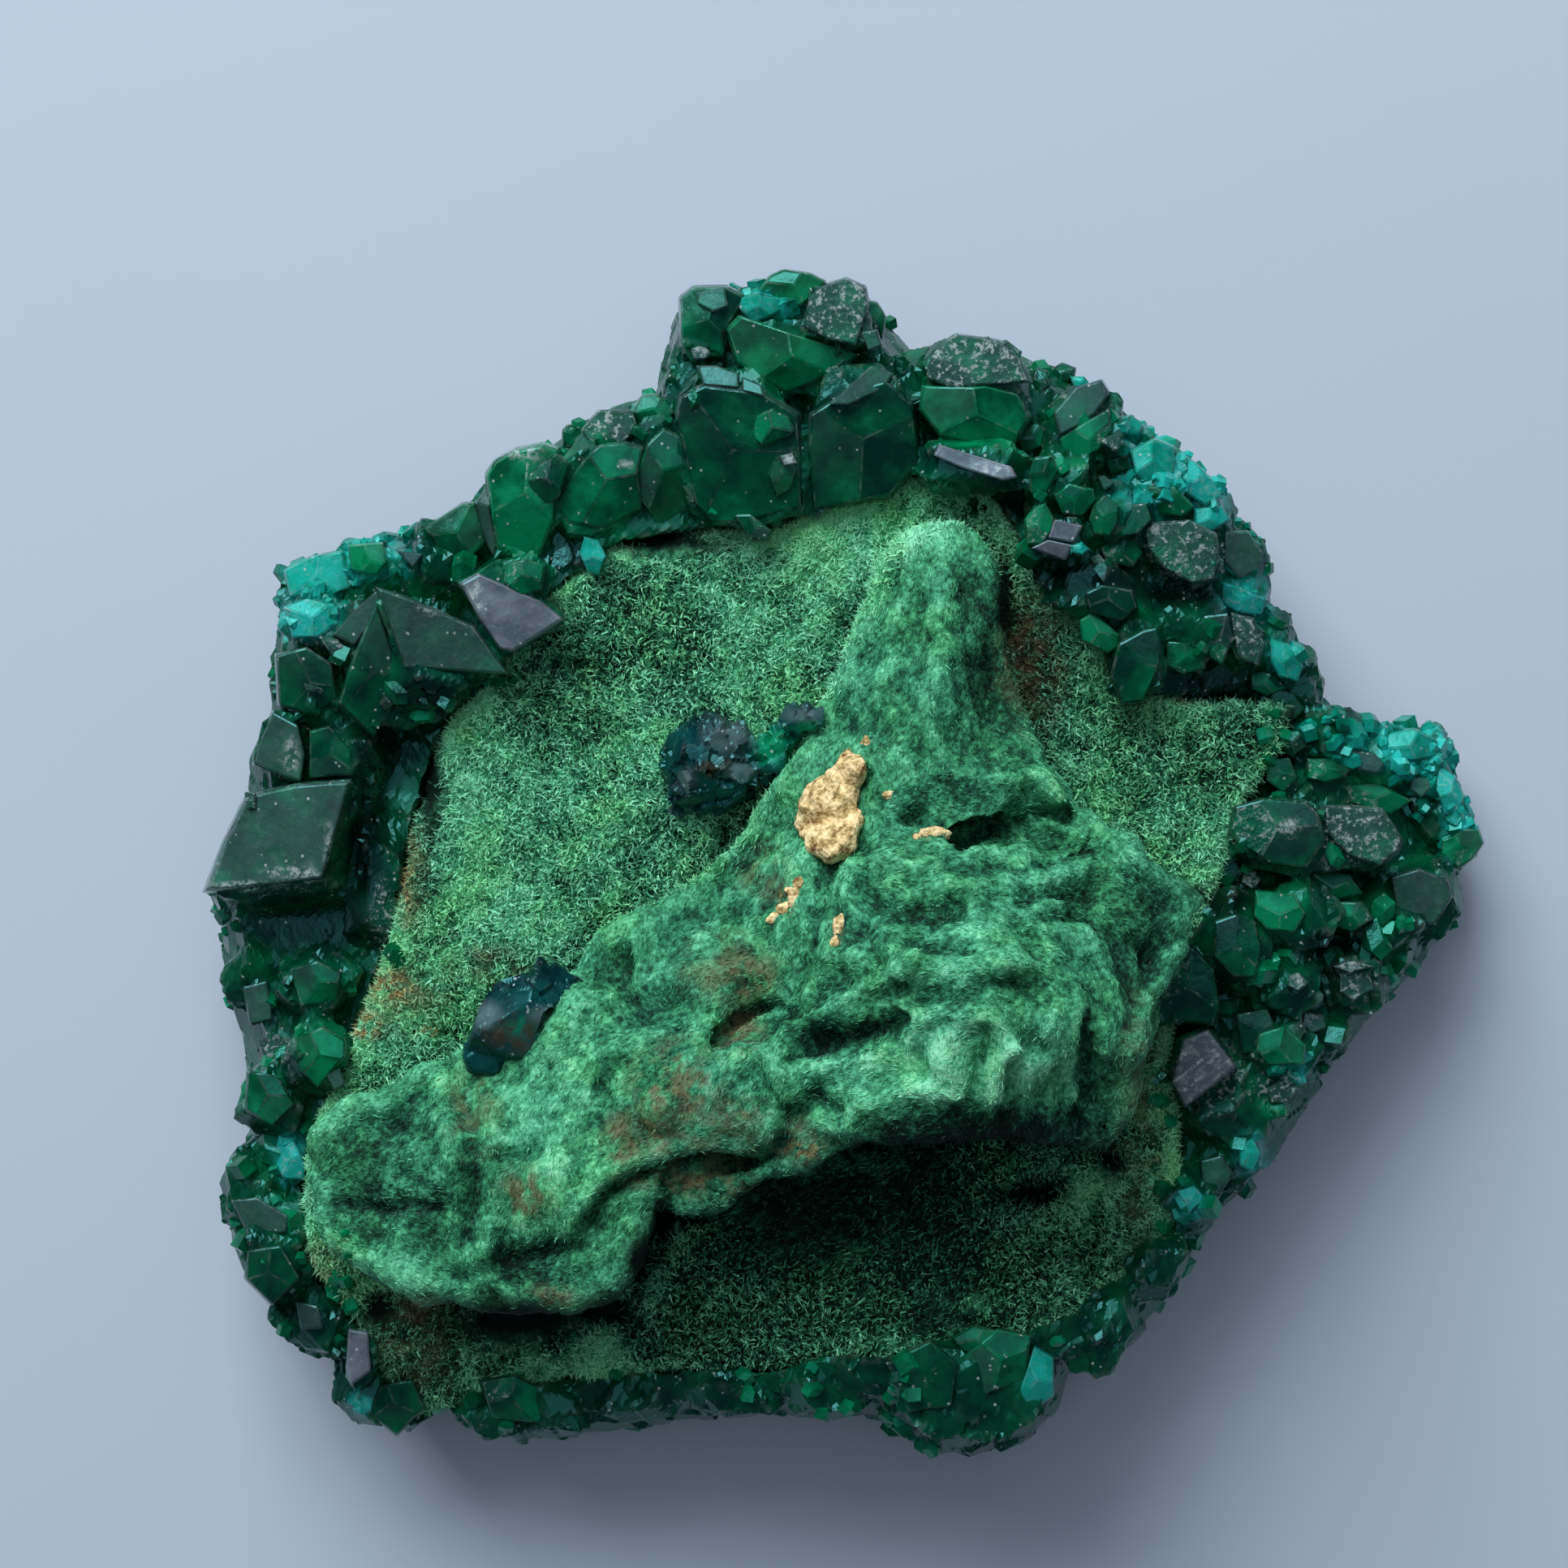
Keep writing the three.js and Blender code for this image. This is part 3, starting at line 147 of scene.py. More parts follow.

# How much paler, or with a minus darker, the malachite is: x, y, half widths, change. Most are its own tone
# from place to place; those on the slope under the ledge are partly its darker colour and partly painted
# shade, and the paler band below the top crystals is painted light where they cast shadow.
TONES_AND_PAINTED_LIGHT = [
    (-6.2, 5.4, 3.6, 2.2, -0.26), (-8.8, 2.4, 2.4, 1.8, -0.12), (1.6, 9.0, 3.8, 1.9, 0.34),
    (1.0, 5.4, 2.6, 2.2, 0.08), (-11.2, -1.4, 1.1, 4.6, 0.2), (-9.6, -4.0, 2.2, 1.8, 0.12),
    (-4.0, -1.6, 3.0, 1.6, -0.06), (6.7, 5.6, 0.9, 3.8, -0.16), (5.2, 8.8, 1.2, 0.8, 0.12),
    (8.8, 5.0, 1.7, 3.8, -0.3), (14.8, 1.6, 3.4, 2.2, -0.2), (17.0, 2.2, 1.4, 1.4, -0.24),
    (6.6, 0.2, 1.9, 1.1, -0.12), (3.8, -5.0, 2.2, 1.1, -0.16), (7.4, -5.4, 2.6, 0.9, 0.06),
    (6.5, -9.9, 4.2, 1.4, 0.26), (12.9, -5.6, 1.3, 2.4, -0.2), (-8.2, -11.8, 2.2, 3.6, 0.1),
    (-9.0, -17.2, 1.8, 1.0, -0.22), (-13.4, -13.8, 3.0, 2.4, -0.16), (11.3, -8.6, 0.9, 2.6, -0.06),
    (2.2, -8.9, 2.4, 0.7, -0.3), (12.9, -12.4, 1.0, 4.2, -0.08), (-16.2, -17.6, 1.2, 1.2, -0.2),
    (-13.2, -20.2, 2.2, 2.2, -0.4), (7.4, -12.8, 4.6, 1.2, -0.62), (0.6, -17.4, 5.4, 3.8, -0.42),
    (7.6, -17.4, 3.6, 3.4, -0.42), (4.0, -14.8, 4.6, 1.0, -0.5), (-3.6, -19.0, 2.6, 2.4, -0.3),
    (1.0, -21.0, 4.0, 1.0, -0.5), (6.6, -18.4, 1.2, 0.4, 0.34), (-13.0, -1.2, 0.8, 3.4, -0.3),
]
# Where light doesn't reach: the hollows under the ledge and the cracks.
BLACK_SPOTS = [
    (-9.4, -19.0, 2.8, 0.9), (-6.2, -18.6, 1.2, 0.8), (-5.2, -17.0, 0.5, 1.2), (-4.4, -15.6, 0.7, 0.6),
    (-3.4, -15.5, 0.8, 0.3), (8.8, -14.6, 1.4, 0.5), (11.6, -13.4, 0.6, 0.6), (-14.5, -18.8, 0.7, 0.5),
    (-12.6, 0.4, 0.5, 2.0), (7.8, 6.6, 0.4, 1.6), (-4.0, 8.6, 2.2, 0.35), (14.6, -3.9, 0.6, 0.3),
    (18.2, 2.2, 0.6, 1.4), (16.6, -1.4, 0.4, 1.4),
]


def seen(x, y, z):
    """A place read at x and y, at height z, in metres in the frame."""
    near = READING_SCALE * (EYE_HEIGHT - z) / (EYE_HEIGHT - SHARP_HEIGHT)
    turned = Matrix.Rotation(-LONG_AXIS, 2) @ Vector((x * near, y * near))
    return Vector((turned.x - MIDDLE[0], turned.y - MIDDLE[1], z)) * MM


def readings_of(points):
    """The readings of many places in the frame: x, y and height in millimetres."""
    mm = np.asarray(points) / MM
    x, y = mm[:, 0] + MIDDLE[0], mm[:, 1] + MIDDLE[1]
    cosine, sine = math.cos(LONG_AXIS), math.sin(LONG_AXIS)
    near = READING_SCALE * (EYE_HEIGHT - mm[:, 2]) / (EYE_HEIGHT - SHARP_HEIGHT)
    return np.stack([(cosine * x - sine * y) / near, (sine * x + cosine * y) / near, mm[:, 2]], 1)


def lattice(cells, seed):
    """A number between -1 and 1 for each cell, which is the same each time. The large odd numbers mix the
    cell's three numbers and the seed."""
    x, y, z = (cells[:, axis].astype(np.int64) for axis in range(3))
    mixed = (x * 73856093) ^ (y * 19349663) ^ (z * 83492791) ^ (seed * 2654435761)
    mixed = (mixed ^ (mixed >> 13)) * 1274126177 & 0xFFFFFFFF
    mixed = (mixed ^ (mixed >> 16)) & 0xFFFFFF
    return mixed / 0x7FFFFF - 1.0


def noise(places, size, seed=0):
    """Smooth noise between -1 and 1 over places in millimetres."""
    scaled = np.asarray(places) / size
    low = np.floor(scaled)
    share = scaled - low
    share = share * share * (3 - 2 * share)
    total = np.zeros(len(scaled))
    for corner in range(8):
        offset = np.array([corner & 1, corner >> 1 & 1, corner >> 2 & 1])
        weight = np.prod(np.where(offset, share, 1 - share), axis=1)
        total += weight * lattice(low + offset, seed)
    return total


def fractal(places, size, octaves, seed):
    """Noise with finer and fainter noise on it."""
    return sum(noise(places, size / 2**octave, seed + octave) / 2**octave for octave in range(octaves))


def facets(places, size, tilt, seed):
    """The relief of small flat faces with steps between them: a height for each place, in millimetres."""
    scaled = np.asarray(places) / size
    low = np.floor(scaled)
    nearest = np.full(len(scaled), 1e9)
    height = np.zeros(len(scaled))
    for corner in range(27):
        cell = low + np.array([corner % 3, corner // 3 % 3, corner // 9]) - 1
        middle = cell + 0.5 + 0.42 * np.stack([lattice(cell, seed + k) for k in range(3)], 1)
        away = scaled - middle
        distance = np.einsum("ij,ij->i", away, away)
        closer = distance < nearest
        slope = np.stack([lattice(cell, seed + 3 + k) for k in range(3)], 1)
        level = np.einsum("ij,ij->i", away, slope) + 0.35 * lattice(cell, seed + 6)
        nearest = np.where(closer, distance, nearest)
        height = np.where(closer, level, height)
    return height * size * tilt


def distance_to(xy, a, b):
    """How far each place lies from the straight line between a and b, seen from above."""
    a, b = np.array(a), np.array(b)
    along = np.clip(((xy - a) @ (b - a)) / ((b - a) @ (b - a)), 0, 1)
    return np.linalg.norm(xy - a - along[:, None] * (b - a), axis=1)


def ridge(xy, line, width):
    """1 on the line through several points, and less and less away from it."""
    nearest = np.min([distance_to(xy, a, b) for a, b in zip(line, line[1:])], axis=0)
    return np.exp(-((nearest / width) ** 2))


def within(xy, spots):
    """1 inside soft round spots given as (x, y, half width x, half width y), 0 outside them."""
    inside = np.zeros(len(xy))
    for x, y, half_x, half_y in spots:
        distance = np.hypot((xy[:, 0] - x) / half_x, (xy[:, 1] - y) / half_y)
        inside = np.maximum(inside, np.clip(1.6 - 1.2 * distance, 0, 1))
    return inside


def tone_and_painted_light(xy):
    """How much paler or darker the malachite is at each place, from its own tone and from painted shade and
    light.
    """
    return sum(change * within(xy, [spot]) for *spot, change in TONES_AND_PAINTED_LIGHT)


def grain_of(xy):
    """The direction of the malachite's fibres on the hill, which follow its folds."""
    total = np.zeros(len(xy), complex)
    for line, _, _ in RIDGES + FURROWS:
        for a, b in zip(line, line[1:]):
            way = complex(b[0] - a[0], b[1] - a[1])
            total += abs(way) * (way / abs(way)) ** 2 / (distance_to(xy, a, b) ** 2 + 0.15) ** 2
    angle = np.angle(total) / 2 - LONG_AXIS
    return np.stack([np.cos(angle), np.sin(angle), np.zeros(len(xy))], 1)


def streaks(mm, directions, size, long, seed):
    """Noise drawn out along the given directions."""
    steps = np.linspace(-long / 2, long / 2, 7)
    total = sum(noise(mm + step * directions, size, seed) for step in steps)
    return total / math.sqrt(len(steps))


def mesh_object(name, points, triangles, attributes=None):
    """A new object with a mesh from arrays. attributes gives each point's values by name."""
    points, triangles = np.asarray(points, np.float32), np.asarray(triangles, np.int32)
    mesh = bpy.data.meshes.new(name)
    mesh.vertices.add(len(points))
    mesh.vertices.foreach_set("co", points.ravel())
    mesh.loops.add(3 * len(triangles))
    mesh.loops.foreach_set("vertex_index", triangles.ravel())
    mesh.polygons.add(len(triangles))
    mesh.polygons.foreach_set("loop_start", np.arange(0, 3 * len(triangles), 3, dtype=np.int32))
    mesh.update(calc_edges=True)
    for key, values in (attributes or {}).items():
        set_attribute(mesh, key, values)
    return placed(bpy.data.objects.new(name, mesh))


def placed(made):
    """The new object, put in the scene."""
    bpy.context.collection.objects.link(made)
    return made


def set_attribute(mesh, key, values):
    attribute = mesh.attributes.new(key, "FLOAT", "POINT")
    attribute.data.foreach_set("value", np.asarray(values, np.float32))


def values_of(items, key, width, kind=np.float32):
    """The values of many vertices, edges or triangles as an array, width to a row."""
    values = np.zeros(width * len(items), kind)
    items.foreach_get(key, values)
    return values.reshape(-1, width)


def points_of(mesh):
    return values_of(mesh.vertices, "co", 3).astype(float)


def normals_of(mesh):
    return values_of(mesh.vertices, "normal", 3).astype(float)


def attribute_of(mesh, key):
    return values_of(mesh.attributes[key].data, "value", 1)[:, 0]


def triangles_of(mesh):
    mesh.calc_loop_triangles()
    return values_of(mesh.loop_triangles, "vertices", 3, np.int32)


def standing_out(mesh, rounds):
    """How far each vertex stands out of the surface round it, in millimetres, or with a minus lies in."""
    points = points_of(mesh)
    a, b = values_of(mesh.edges, "vertices", 2, np.int32).T
    count = len(points)
    near = np.bincount(a, minlength=count) + np.bincount(b, minlength=count)
    mean = points
    for _ in range(rounds):
        sums = [np.bincount(a, mean[b, k], count) + np.bincount(b, mean[a, k], count) for k in range(3)]
        mean = np.stack(sums, 1) / np.maximum(near, 1)[:, None]
    return np.einsum("ij,ij->i", points - mean, normals_of(mesh)) / MM


def move_along(mesh, points, normals, rise, lowest=0.0):
    """Moves the vertices out by rise millimetres, and keeps them between the lowest and the highest place."""
    moved = points + normals * rise[:, None] * MM
    moved[:, 2] = np.clip(moved[:, 2], lowest, HIGHEST)
    mesh.vertices.foreach_set("co", moved.astype(np.float32).ravel())
    mesh.update()


def scattered(mesh, count, rng, weigh):
    """Random places on a mesh, with their normals and one corner of their triangles. weigh takes middles and
    normals, and gives densities."""
    points, triangles = points_of(mesh), triangles_of(mesh)
    a, b, c = (points[triangles[:, corner]] for corner in range(3))
    across = np.cross(b - a, c - a)
    area = np.linalg.norm(across, axis=1)
    normals = across / np.maximum(area, 1e-15)[:, None]
    chance = area * weigh((a + b + c) / 3, normals)
    picked = rng.choice(len(triangles), count, p=chance / chance.sum())
    u, v = rng.random(count), rng.random(count)
    swap = u + v > 1
    u[swap], v[swap] = 1 - u[swap], 1 - v[swap]
    places = a[picked] + u[:, None] * (b - a)[picked] + v[:, None] * (c - a)[picked]
    return places, normals[picked], triangles[picked, 0]


def remeshed(name, node, voxel, smoothing, flat=False):
    """A new object with the node's form in even small faces. flat lays them on the node's own faces."""
    source = placed(bpy.data.objects.new(name + "_source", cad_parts[node].data.copy()))
    remesh = source.modifiers.new("remesh", "REMESH")
    remesh.mode = "VOXEL"
    remesh.voxel_size = voxel * MM
    smooth = source.modifiers.new("smooth", "SMOOTH")
    smooth.iterations = smoothing
    if flat:
        wrap = source.modifiers.new("wrap", "SHRINKWRAP")
        wrap.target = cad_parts[node]
    mesh = bpy.data.meshes.new_from_object(source.evaluated_get(bpy.context.evaluated_depsgraph_get()))
    bpy.data.objects.remove(source)
    mesh.materials.clear()
    mesh.name = name
    return placed(bpy.data.objects.new(name, mesh))


def dress(piece, node, material, smooth=False):
    """Rides on the body, stands for a node where one is named, and takes its slot and material."""
    piece.data.materials.append(material)
    piece.data.polygons.foreach_set("use_smooth", [smooth] * len(piece.data.polygons))
    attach(piece, "root")
    if node:
        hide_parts(node)


class Nodes:
    """A material's nodes. Values given to add are numbers or other nodes' outputs, by the socket's name or
    number."""

    def __init__(self, name):
        self.material = bpy.data.materials.new(name)
        self.material.use_nodes = True
        self.tree = self.material.node_tree
        self.tree.nodes.clear()

    def add(self, kind, values=None, **settings):
        node = self.tree.nodes.new("ShaderNode" + kind)
        for key, value in settings.items():
            setattr(node, key, value)
        for key, value in (values or {}).items():
            if isinstance(value, bpy.types.NodeSocket):
                self.tree.links.new(value, node.inputs[key])
            else:
                node.inputs[key].default_value = value
        return node

    def place(self):
        """The place on the piece in millimetres."""
        coordinates = self.add("TexCoord").outputs["Object"]
        return self.add("Mapping", {"Vector": coordinates, "Scale": (1 / MM,) * 3}).outputs["Vector"]

    def noise(self, size, detail=3.0, roughness=0.55, distortion=0.0):
        """Noise with patches of this size in millimetres."""
        values = {"Vector": self.place(), "Scale": 1 / size, "Detail": detail, "Roughness": roughness}
        values["Distortion"] = distortion
        return self.add("TexNoise", values).outputs["Fac"]

    def cells(self, size):
        return self.add("TexVoronoi", {"Vector": self.place(), "Scale": 1 / size}).outputs["Distance"]

    def attribute(self, name):
        return self.add("Attribute", attribute_name=name).outputs["Fac"]

    def ramp(self, value, *stops):
        node = self.add("ValToRGB", {"Fac": value})
        elements = node.color_ramp.elements
        while len(elements) < len(stops):
            elements.new(0.5)
        for element, (place, colour) in zip(elements, stops):
            element.position = place
            element.color = (*colour, 1)
        return node.outputs["Color"]

    def mix(self, share, a, b, blend="MIX"):
        a, b = ((*colour, 1) if isinstance(colour, tuple) else colour for colour in (a, b))
        return self.add("Mix", {0: share, 6: a, 7: b}, data_type="RGBA", blend_type=blend).outputs[2]

    def math(self, operation, a, b, clamp=False):
        return self.add("Math", {0: a, 1: b}, operation=operation, use_clamp=clamp).outputs[0]

    def times(self, a, b, clamp=False):
        """Their product."""
        return self.math("MULTIPLY", a, b, clamp)

    def spread(self, value, low, high, to_low=0.0, to_high=1.0):
        values = {"Value": value, "From Min": low, "From Max": high, "To Min": to_low, "To Max": to_high}
        return self.add("MapRange", values).outputs["Result"]

    def patchy(self, name, size, detail, low, high):
        """The attribute, broken up into patches."""
        return self.times(self.attribute(name), self.spread(self.noise(size, detail), low, high))

    def bump(self, height, depth, **normal):
        values = {"Height": height, "Distance": depth * MM, "Strength": 1.0, **normal}
        return self.add("Bump", values).outputs["Normal"]

    def finish(self, values, volume=None):
        shader = self.add("BsdfPrincipled", values)
        output = self.add("OutputMaterial", {"Surface": shader.outputs[0]})
        if volume:
            self.tree.links.new(volume, output.inputs["Volume"])
        return self.material


# Colours, as linear red, green and blue.
BLACK_GREEN = (0.0006, 0.004, 0.003)
MALACHITE_GREENS = (
    (0.0, BLACK_GREEN), (0.14, (0.002, 0.016, 0.011)), (0.34, (0.01, 0.08, 0.045)),
    (0.56, (0.04, 0.25, 0.13)), (0.78, (0.11, 0.48, 0.27)), (1.0, (0.26, 0.72, 0.45)),
)
MALACHITE_GLOSS = (0.6, 1.0, 0.85, 1)
RUST = (0.15, 0.06, 0.03)
BROWN = (0.075, 0.055, 0.032)
WARM = (1.0, 1.0, 0.8)
OLIVE = (0.025, 0.035, 0.015)
PALE_OLIVE = (0.2, 0.25, 0.12)
DULL_OCHRE = (0.2, 0.15, 0.07)
OCHRE = (0.42, 0.31, 0.12)
CREAM = (0.8, 0.6, 0.32)
PALE_CREAM = (0.95, 0.82, 0.46)
# The brighter greens of the crystals are painted glow of light let through them.
CRYSTAL_DEEP = (0.0005, 0.05, 0.028)
CRYSTAL_BRIGHT = (0.0005, 0.16, 0.06)
CRYSTAL_GLOW = (0.002, 0.42, 0.17)
TURQUOISE = (0.03, 0.76, 0.68)
# Pale frost of chips and specks, used as well for painted glints and painted reflections.
FROST_AND_GLINT = (0.75, 0.88, 0.88)
# Grey of faces that mirror the light: a painted reflection.
REFLECTION_SLATE = (0.14, 0.23, 0.25)
DIM = (0.0004, 0.014, 0.008)


def stained_and_shaded(n, green, fine):
    """Olive, rust and ochre stains over the green, and painted shade near black where the attribute black
    says so, in the hollows and cracks.
    """
    rust = n.patchy("rust", 0.6, 4.0, 0.42, 0.58)
    ochre = n.patchy("ochre", 0.35, 4.0, 0.44, 0.56)
    olive = n.patchy("olive", 0.9, 3.0, 0.38, 0.62)
    green = n.mix(n.spread(n.noise(2.2, 3.0), 0.4, 0.65), green, n.mix(1.0, green, WARM, "MULTIPLY"))
    green = n.mix(n.times(olive, 0.7), green, n.mix(fine, OLIVE, PALE_OLIVE))
    colour = n.mix(n.times(rust, 0.75), green, n.ramp(fine, (0.3, BROWN), (0.65, RUST)))
    colour = n.mix(ochre, colour, n.ramp(fine, (0.3, BROWN), (0.55, DULL_OCHRE), (0.8, OCHRE)))
    # Painted shade: near black in the hollows and cracks that light doesn't reach.
    return n.mix(n.attribute("black"), colour, BLACK_GREEN)


def malachite_material():
    n = Nodes("malachite_look")
    fine = n.noise(0.22, detail=4.0, roughness=0.65)
    # The painted shade and tone of the relief, broken up with fine noise, picks the green.
    shaded_mottling = n.math("ADD", n.attribute("shade_and_tone"), n.spread(fine, 0.3, 0.7, -0.26, 0.26))
    shaded_mottling = n.math("ADD", shaded_mottling, n.spread(n.noise(0.6, 2.0), 0.3, 0.7, -0.14, 0.14))
    colour = stained_and_shaded(n, n.ramp(shaded_mottling, *MALACHITE_GREENS), fine)
    normal = n.bump(n.noise(0.14, 3.0, 0.7), 0.1)
    return n.finish({"Base Color": colour, "Roughness": 0.75, "Normal": normal,
                     "Specular IOR Level": 0.2, "Specular Tint": MALACHITE_GLOSS})


def needle_material():
    n = Nodes("malachite_needles_look")
    shade = n.attribute("shade")
    colour = stained_and_shaded(n, n.ramp(shade, *MALACHITE_GREENS), shade)
    return n.finish({"Base Color": colour, "Roughness": 0.45,
                     "Specular IOR Level": 0.3, "Specular Tint": MALACHITE_GLOSS})


def dioptase_material(name, deep, bright, glow, clear, density, worn):
    """Clear emerald crystal: glassy faces whose brighter greens are painted glow of light let through, pale
    worn edges that are partly a painted highlight, frosted specks, and patches of painted grey reflection and
    painted glints. clear is how much light it lets in, density how soon it takes it up, and worn its roughest
    roughness."""
    n = Nodes(name)
    patches = n.noise(1.3, 3.0, 0.6)
    # The brighter greens of the ramp are painted glow of light let through.
    tone = n.math("ADD", patches, n.times(n.attribute("bright"), 0.3))
    colour = n.ramp(tone, (0.36, deep), (0.62, bright), (0.85, glow))
    blotches = n.spread(n.noise(0.6, 4.0), 0.4, 0.56)
    blue = n.times(n.attribute("turquoise"), n.math("ADD", blotches, 0.15), clamp=True)
    colour = n.mix(blue, colour, TURQUOISE)
    colour = n.mix(n.times(n.attribute("brown"), blotches), colour, BROWN)
    # Painted reflection: grey patches where the light mirrors in the faces.
    slate = n.times(n.attribute("slate"), n.spread(n.noise(0.6, 4.0, 0.65), 0.3, 0.6, 0.55, 1.0))
    colour = n.mix(slate, colour, REFLECTION_SLATE)
    colour = n.mix(n.attribute("dim"), colour, DIM)
    # Pale marks: chipped edges that are also a painted highlight, painted glints, pale specks, and painted
    # reflection where the attribute shine says.
    chip_and_edge_highlight = n.patchy("edge", 0.5, 3.0, 0.48, 0.64)
    broken = n.noise(0.26, 5.0, 0.75)
    glitter = n.times(n.attribute("glitter"), n.spread(broken, 0.53, 0.6))
    dots = n.times(n.spread(n.cells(0.36), 0.17, 0.1), n.spread(n.noise(1.0, 2.0), 0.5, 0.6))
    pale = n.math("MAXIMUM", n.times(chip_and_edge_highlight, 0.14), n.math("MAXIMUM", glitter, dots))
    shine = n.times(n.attribute("shine"), n.spread(broken, 0.45, 0.56))
    colour = n.mix(n.math("MAXIMUM", pale, shine), colour, FROST_AND_GLINT)
    rough = n.spread(patches, 0.35, 0.65, 0.1, worn)
    normal = n.bump(n.noise(0.45, 4.0, 0.6, 0.3), 0.03)
    normal = n.bump(n.times(broken, n.attribute("glitter")), 0.16, Normal=normal)
    absorb = n.add("VolumeAbsorption", {"Color": (0.0, 0.83, 0.6, 1), "Density": density})
    return n.finish({"Base Color": colour, "Roughness": rough, "Normal": normal, "IOR": 1.6,
                     "Specular IOR Level": 0.4, "Specular Tint": (0.2, 0.8, 0.8, 1),
                     "Transmission Weight": clear}, absorb.outputs[0])


def limonite_material():
    n = Nodes("limonite_look")
    colour = n.ramp(n.noise(0.4, 4.0, 0.7), (0.34, RUST), (0.44, OCHRE), (0.54, CREAM), (0.68, PALE_CREAM))
    normal = n.bump(n.cells(0.14), 0.05)
    return n.finish({"Base Color": colour, "Roughness": 0.92, "Normal": normal,
                     "Specular IOR Level": 0.25})


def floor_material():
    n = Nodes("floor_look")
    colour = n.mix(n.noise(30.0, 2.0), (0.44, 0.52, 0.61), (0.47, 0.55, 0.64))
    return n.finish({"Base Color": colour, "Roughness": 0.7, "Specular IOR Level": 0.2})


# Where the malachite is stained: x, y, half widths, as read.
RUST_SPOTS = [
    (-1.4, -6.8, 1.4, 0.9), (-1.5, -8.8, 0.8, 0.8), (-3.8, -10.8, 1.6, 1.6), (-4.6, -12.4, 1.2, 0.8),
    (-3.2, -14.2, 2.4, 0.4), (14.2, 3.2, 0.9, 0.4), (-2.0, -11.6, 1.4, 0.5), (-5.8, -12.8, 0.7, 1.2),
    (-9.2, -14.6, 1.0, 1.0), (-8.2, -18.2, 1.0, 0.4), (8.6, 4.6, 1.0, 1.8), (-12.8, -18.8, 0.8, 0.8),
]
OCHRE_SPOTS = [
    (-13.5, -2.6, 0.3, 2.2), (-14.0, -7.2, 0.9, 0.6), (-14.9, -8.6, 0.7, 0.5), (0.1, -4.2, 0.3, 0.5),
    (5.3, -1.75, 0.4, 0.2), (1.95, -5.3, 0.2, 0.5), (-12.6, -8.8, 0.3, 0.2), (0.6, -13.0, 0.8, 0.3),
]
OLIVE_SPOTS = [
    (12.7, -12.6, 0.9, 4.6), (-16.4, -17.6, 1.2, 1.4), (-13.2, -20.0, 1.6, 2.0), (-13.2, -3.2, 0.6, 2.6),
    (9.0, 4.6, 1.2, 2.6), (-13.6, -7.6, 1.6, 1.2), (-10.4, -6.4, 1.6, 0.7), (-0.6, -3.2, 0.9, 1.0),
    (-3.4, -12.6, 2.6, 1.2), (-11.0, -11.6, 1.0, 1.6), (0.6, -12.6, 1.2, 0.7), (-2.0, -6.6, 1.6, 1.2),
]
STAINS = {"rust": RUST_SPOTS, "ochre": OCHRE_SPOTS, "olive": OLIVE_SPOTS}


def malachite():
    piece = remeshed("malachite", "malachite_matrix", MATRIX_VOXEL, smoothing=4)
    mesh = piece.data
    points, normals = points_of(mesh), normals_of(mesh)
    mm = points / MM
    xy, height = readings_of(points)[:, :2], mm[:, 2]
    hill = np.clip((height - HILL_FOOT) / 1.6, 0, 1)
    strands = streaks(mm, grain_of(xy), size=0.34, long=1.8, seed=3)
    rise = 0.05 + 0.16 * fractal(mm, 1.5, octaves=3, seed=8) + 0.1 * fractal(mm, 0.5, octaves=2, seed=17)
    rise += hill * (0.05 * strands + 0.08 * fractal(mm, 0.8, octaves=2, seed=23))
    for line, fold, width in RIDGES:
        rise += fold * ridge(xy, line, width) * hill
    for line, depth, width in FURROWS:
        rise -= depth * ridge(xy, line, width) * hill
    move_along(mesh, points, normals, rise * np.clip((height - 0.4) / 1.6, 0, 1))
    # Painted shade and highlight: creases darker and crests paler by how far each point stands out, with the
    # tones and the painted shade and light of the tone list, and the floors painted darker between their
    # needles.
    out = np.clip(standing_out(mesh, rounds=12), -0.16, 0.16)
    shade = 0.53 + (2.2 - 1.2 * hill) * out + 0.05 * strands * hill + tone_and_painted_light(xy)
    shade += 0.06 * fractal(mm, 1.2, octaves=3, seed=61) - 0.02 * hill + 0.11 * (1 - hill)
    set_attribute(mesh, "shade_and_tone", np.clip(shade - GAP_SHADE * (1 - hill), 0, 1))
    set_attribute(mesh, "black", within(xy, BLACK_SPOTS))
    for key, spots in STAINS.items():
        set_attribute(mesh, key, within(xy, spots))
    dress(piece, "malachite_matrix", malachite_material(), smooth=True)
    return piece


def unit(vectors):
    """The vectors at a length of 1."""
    return vectors / np.maximum(np.linalg.norm(vectors, axis=1), 1e-12)[:, None]


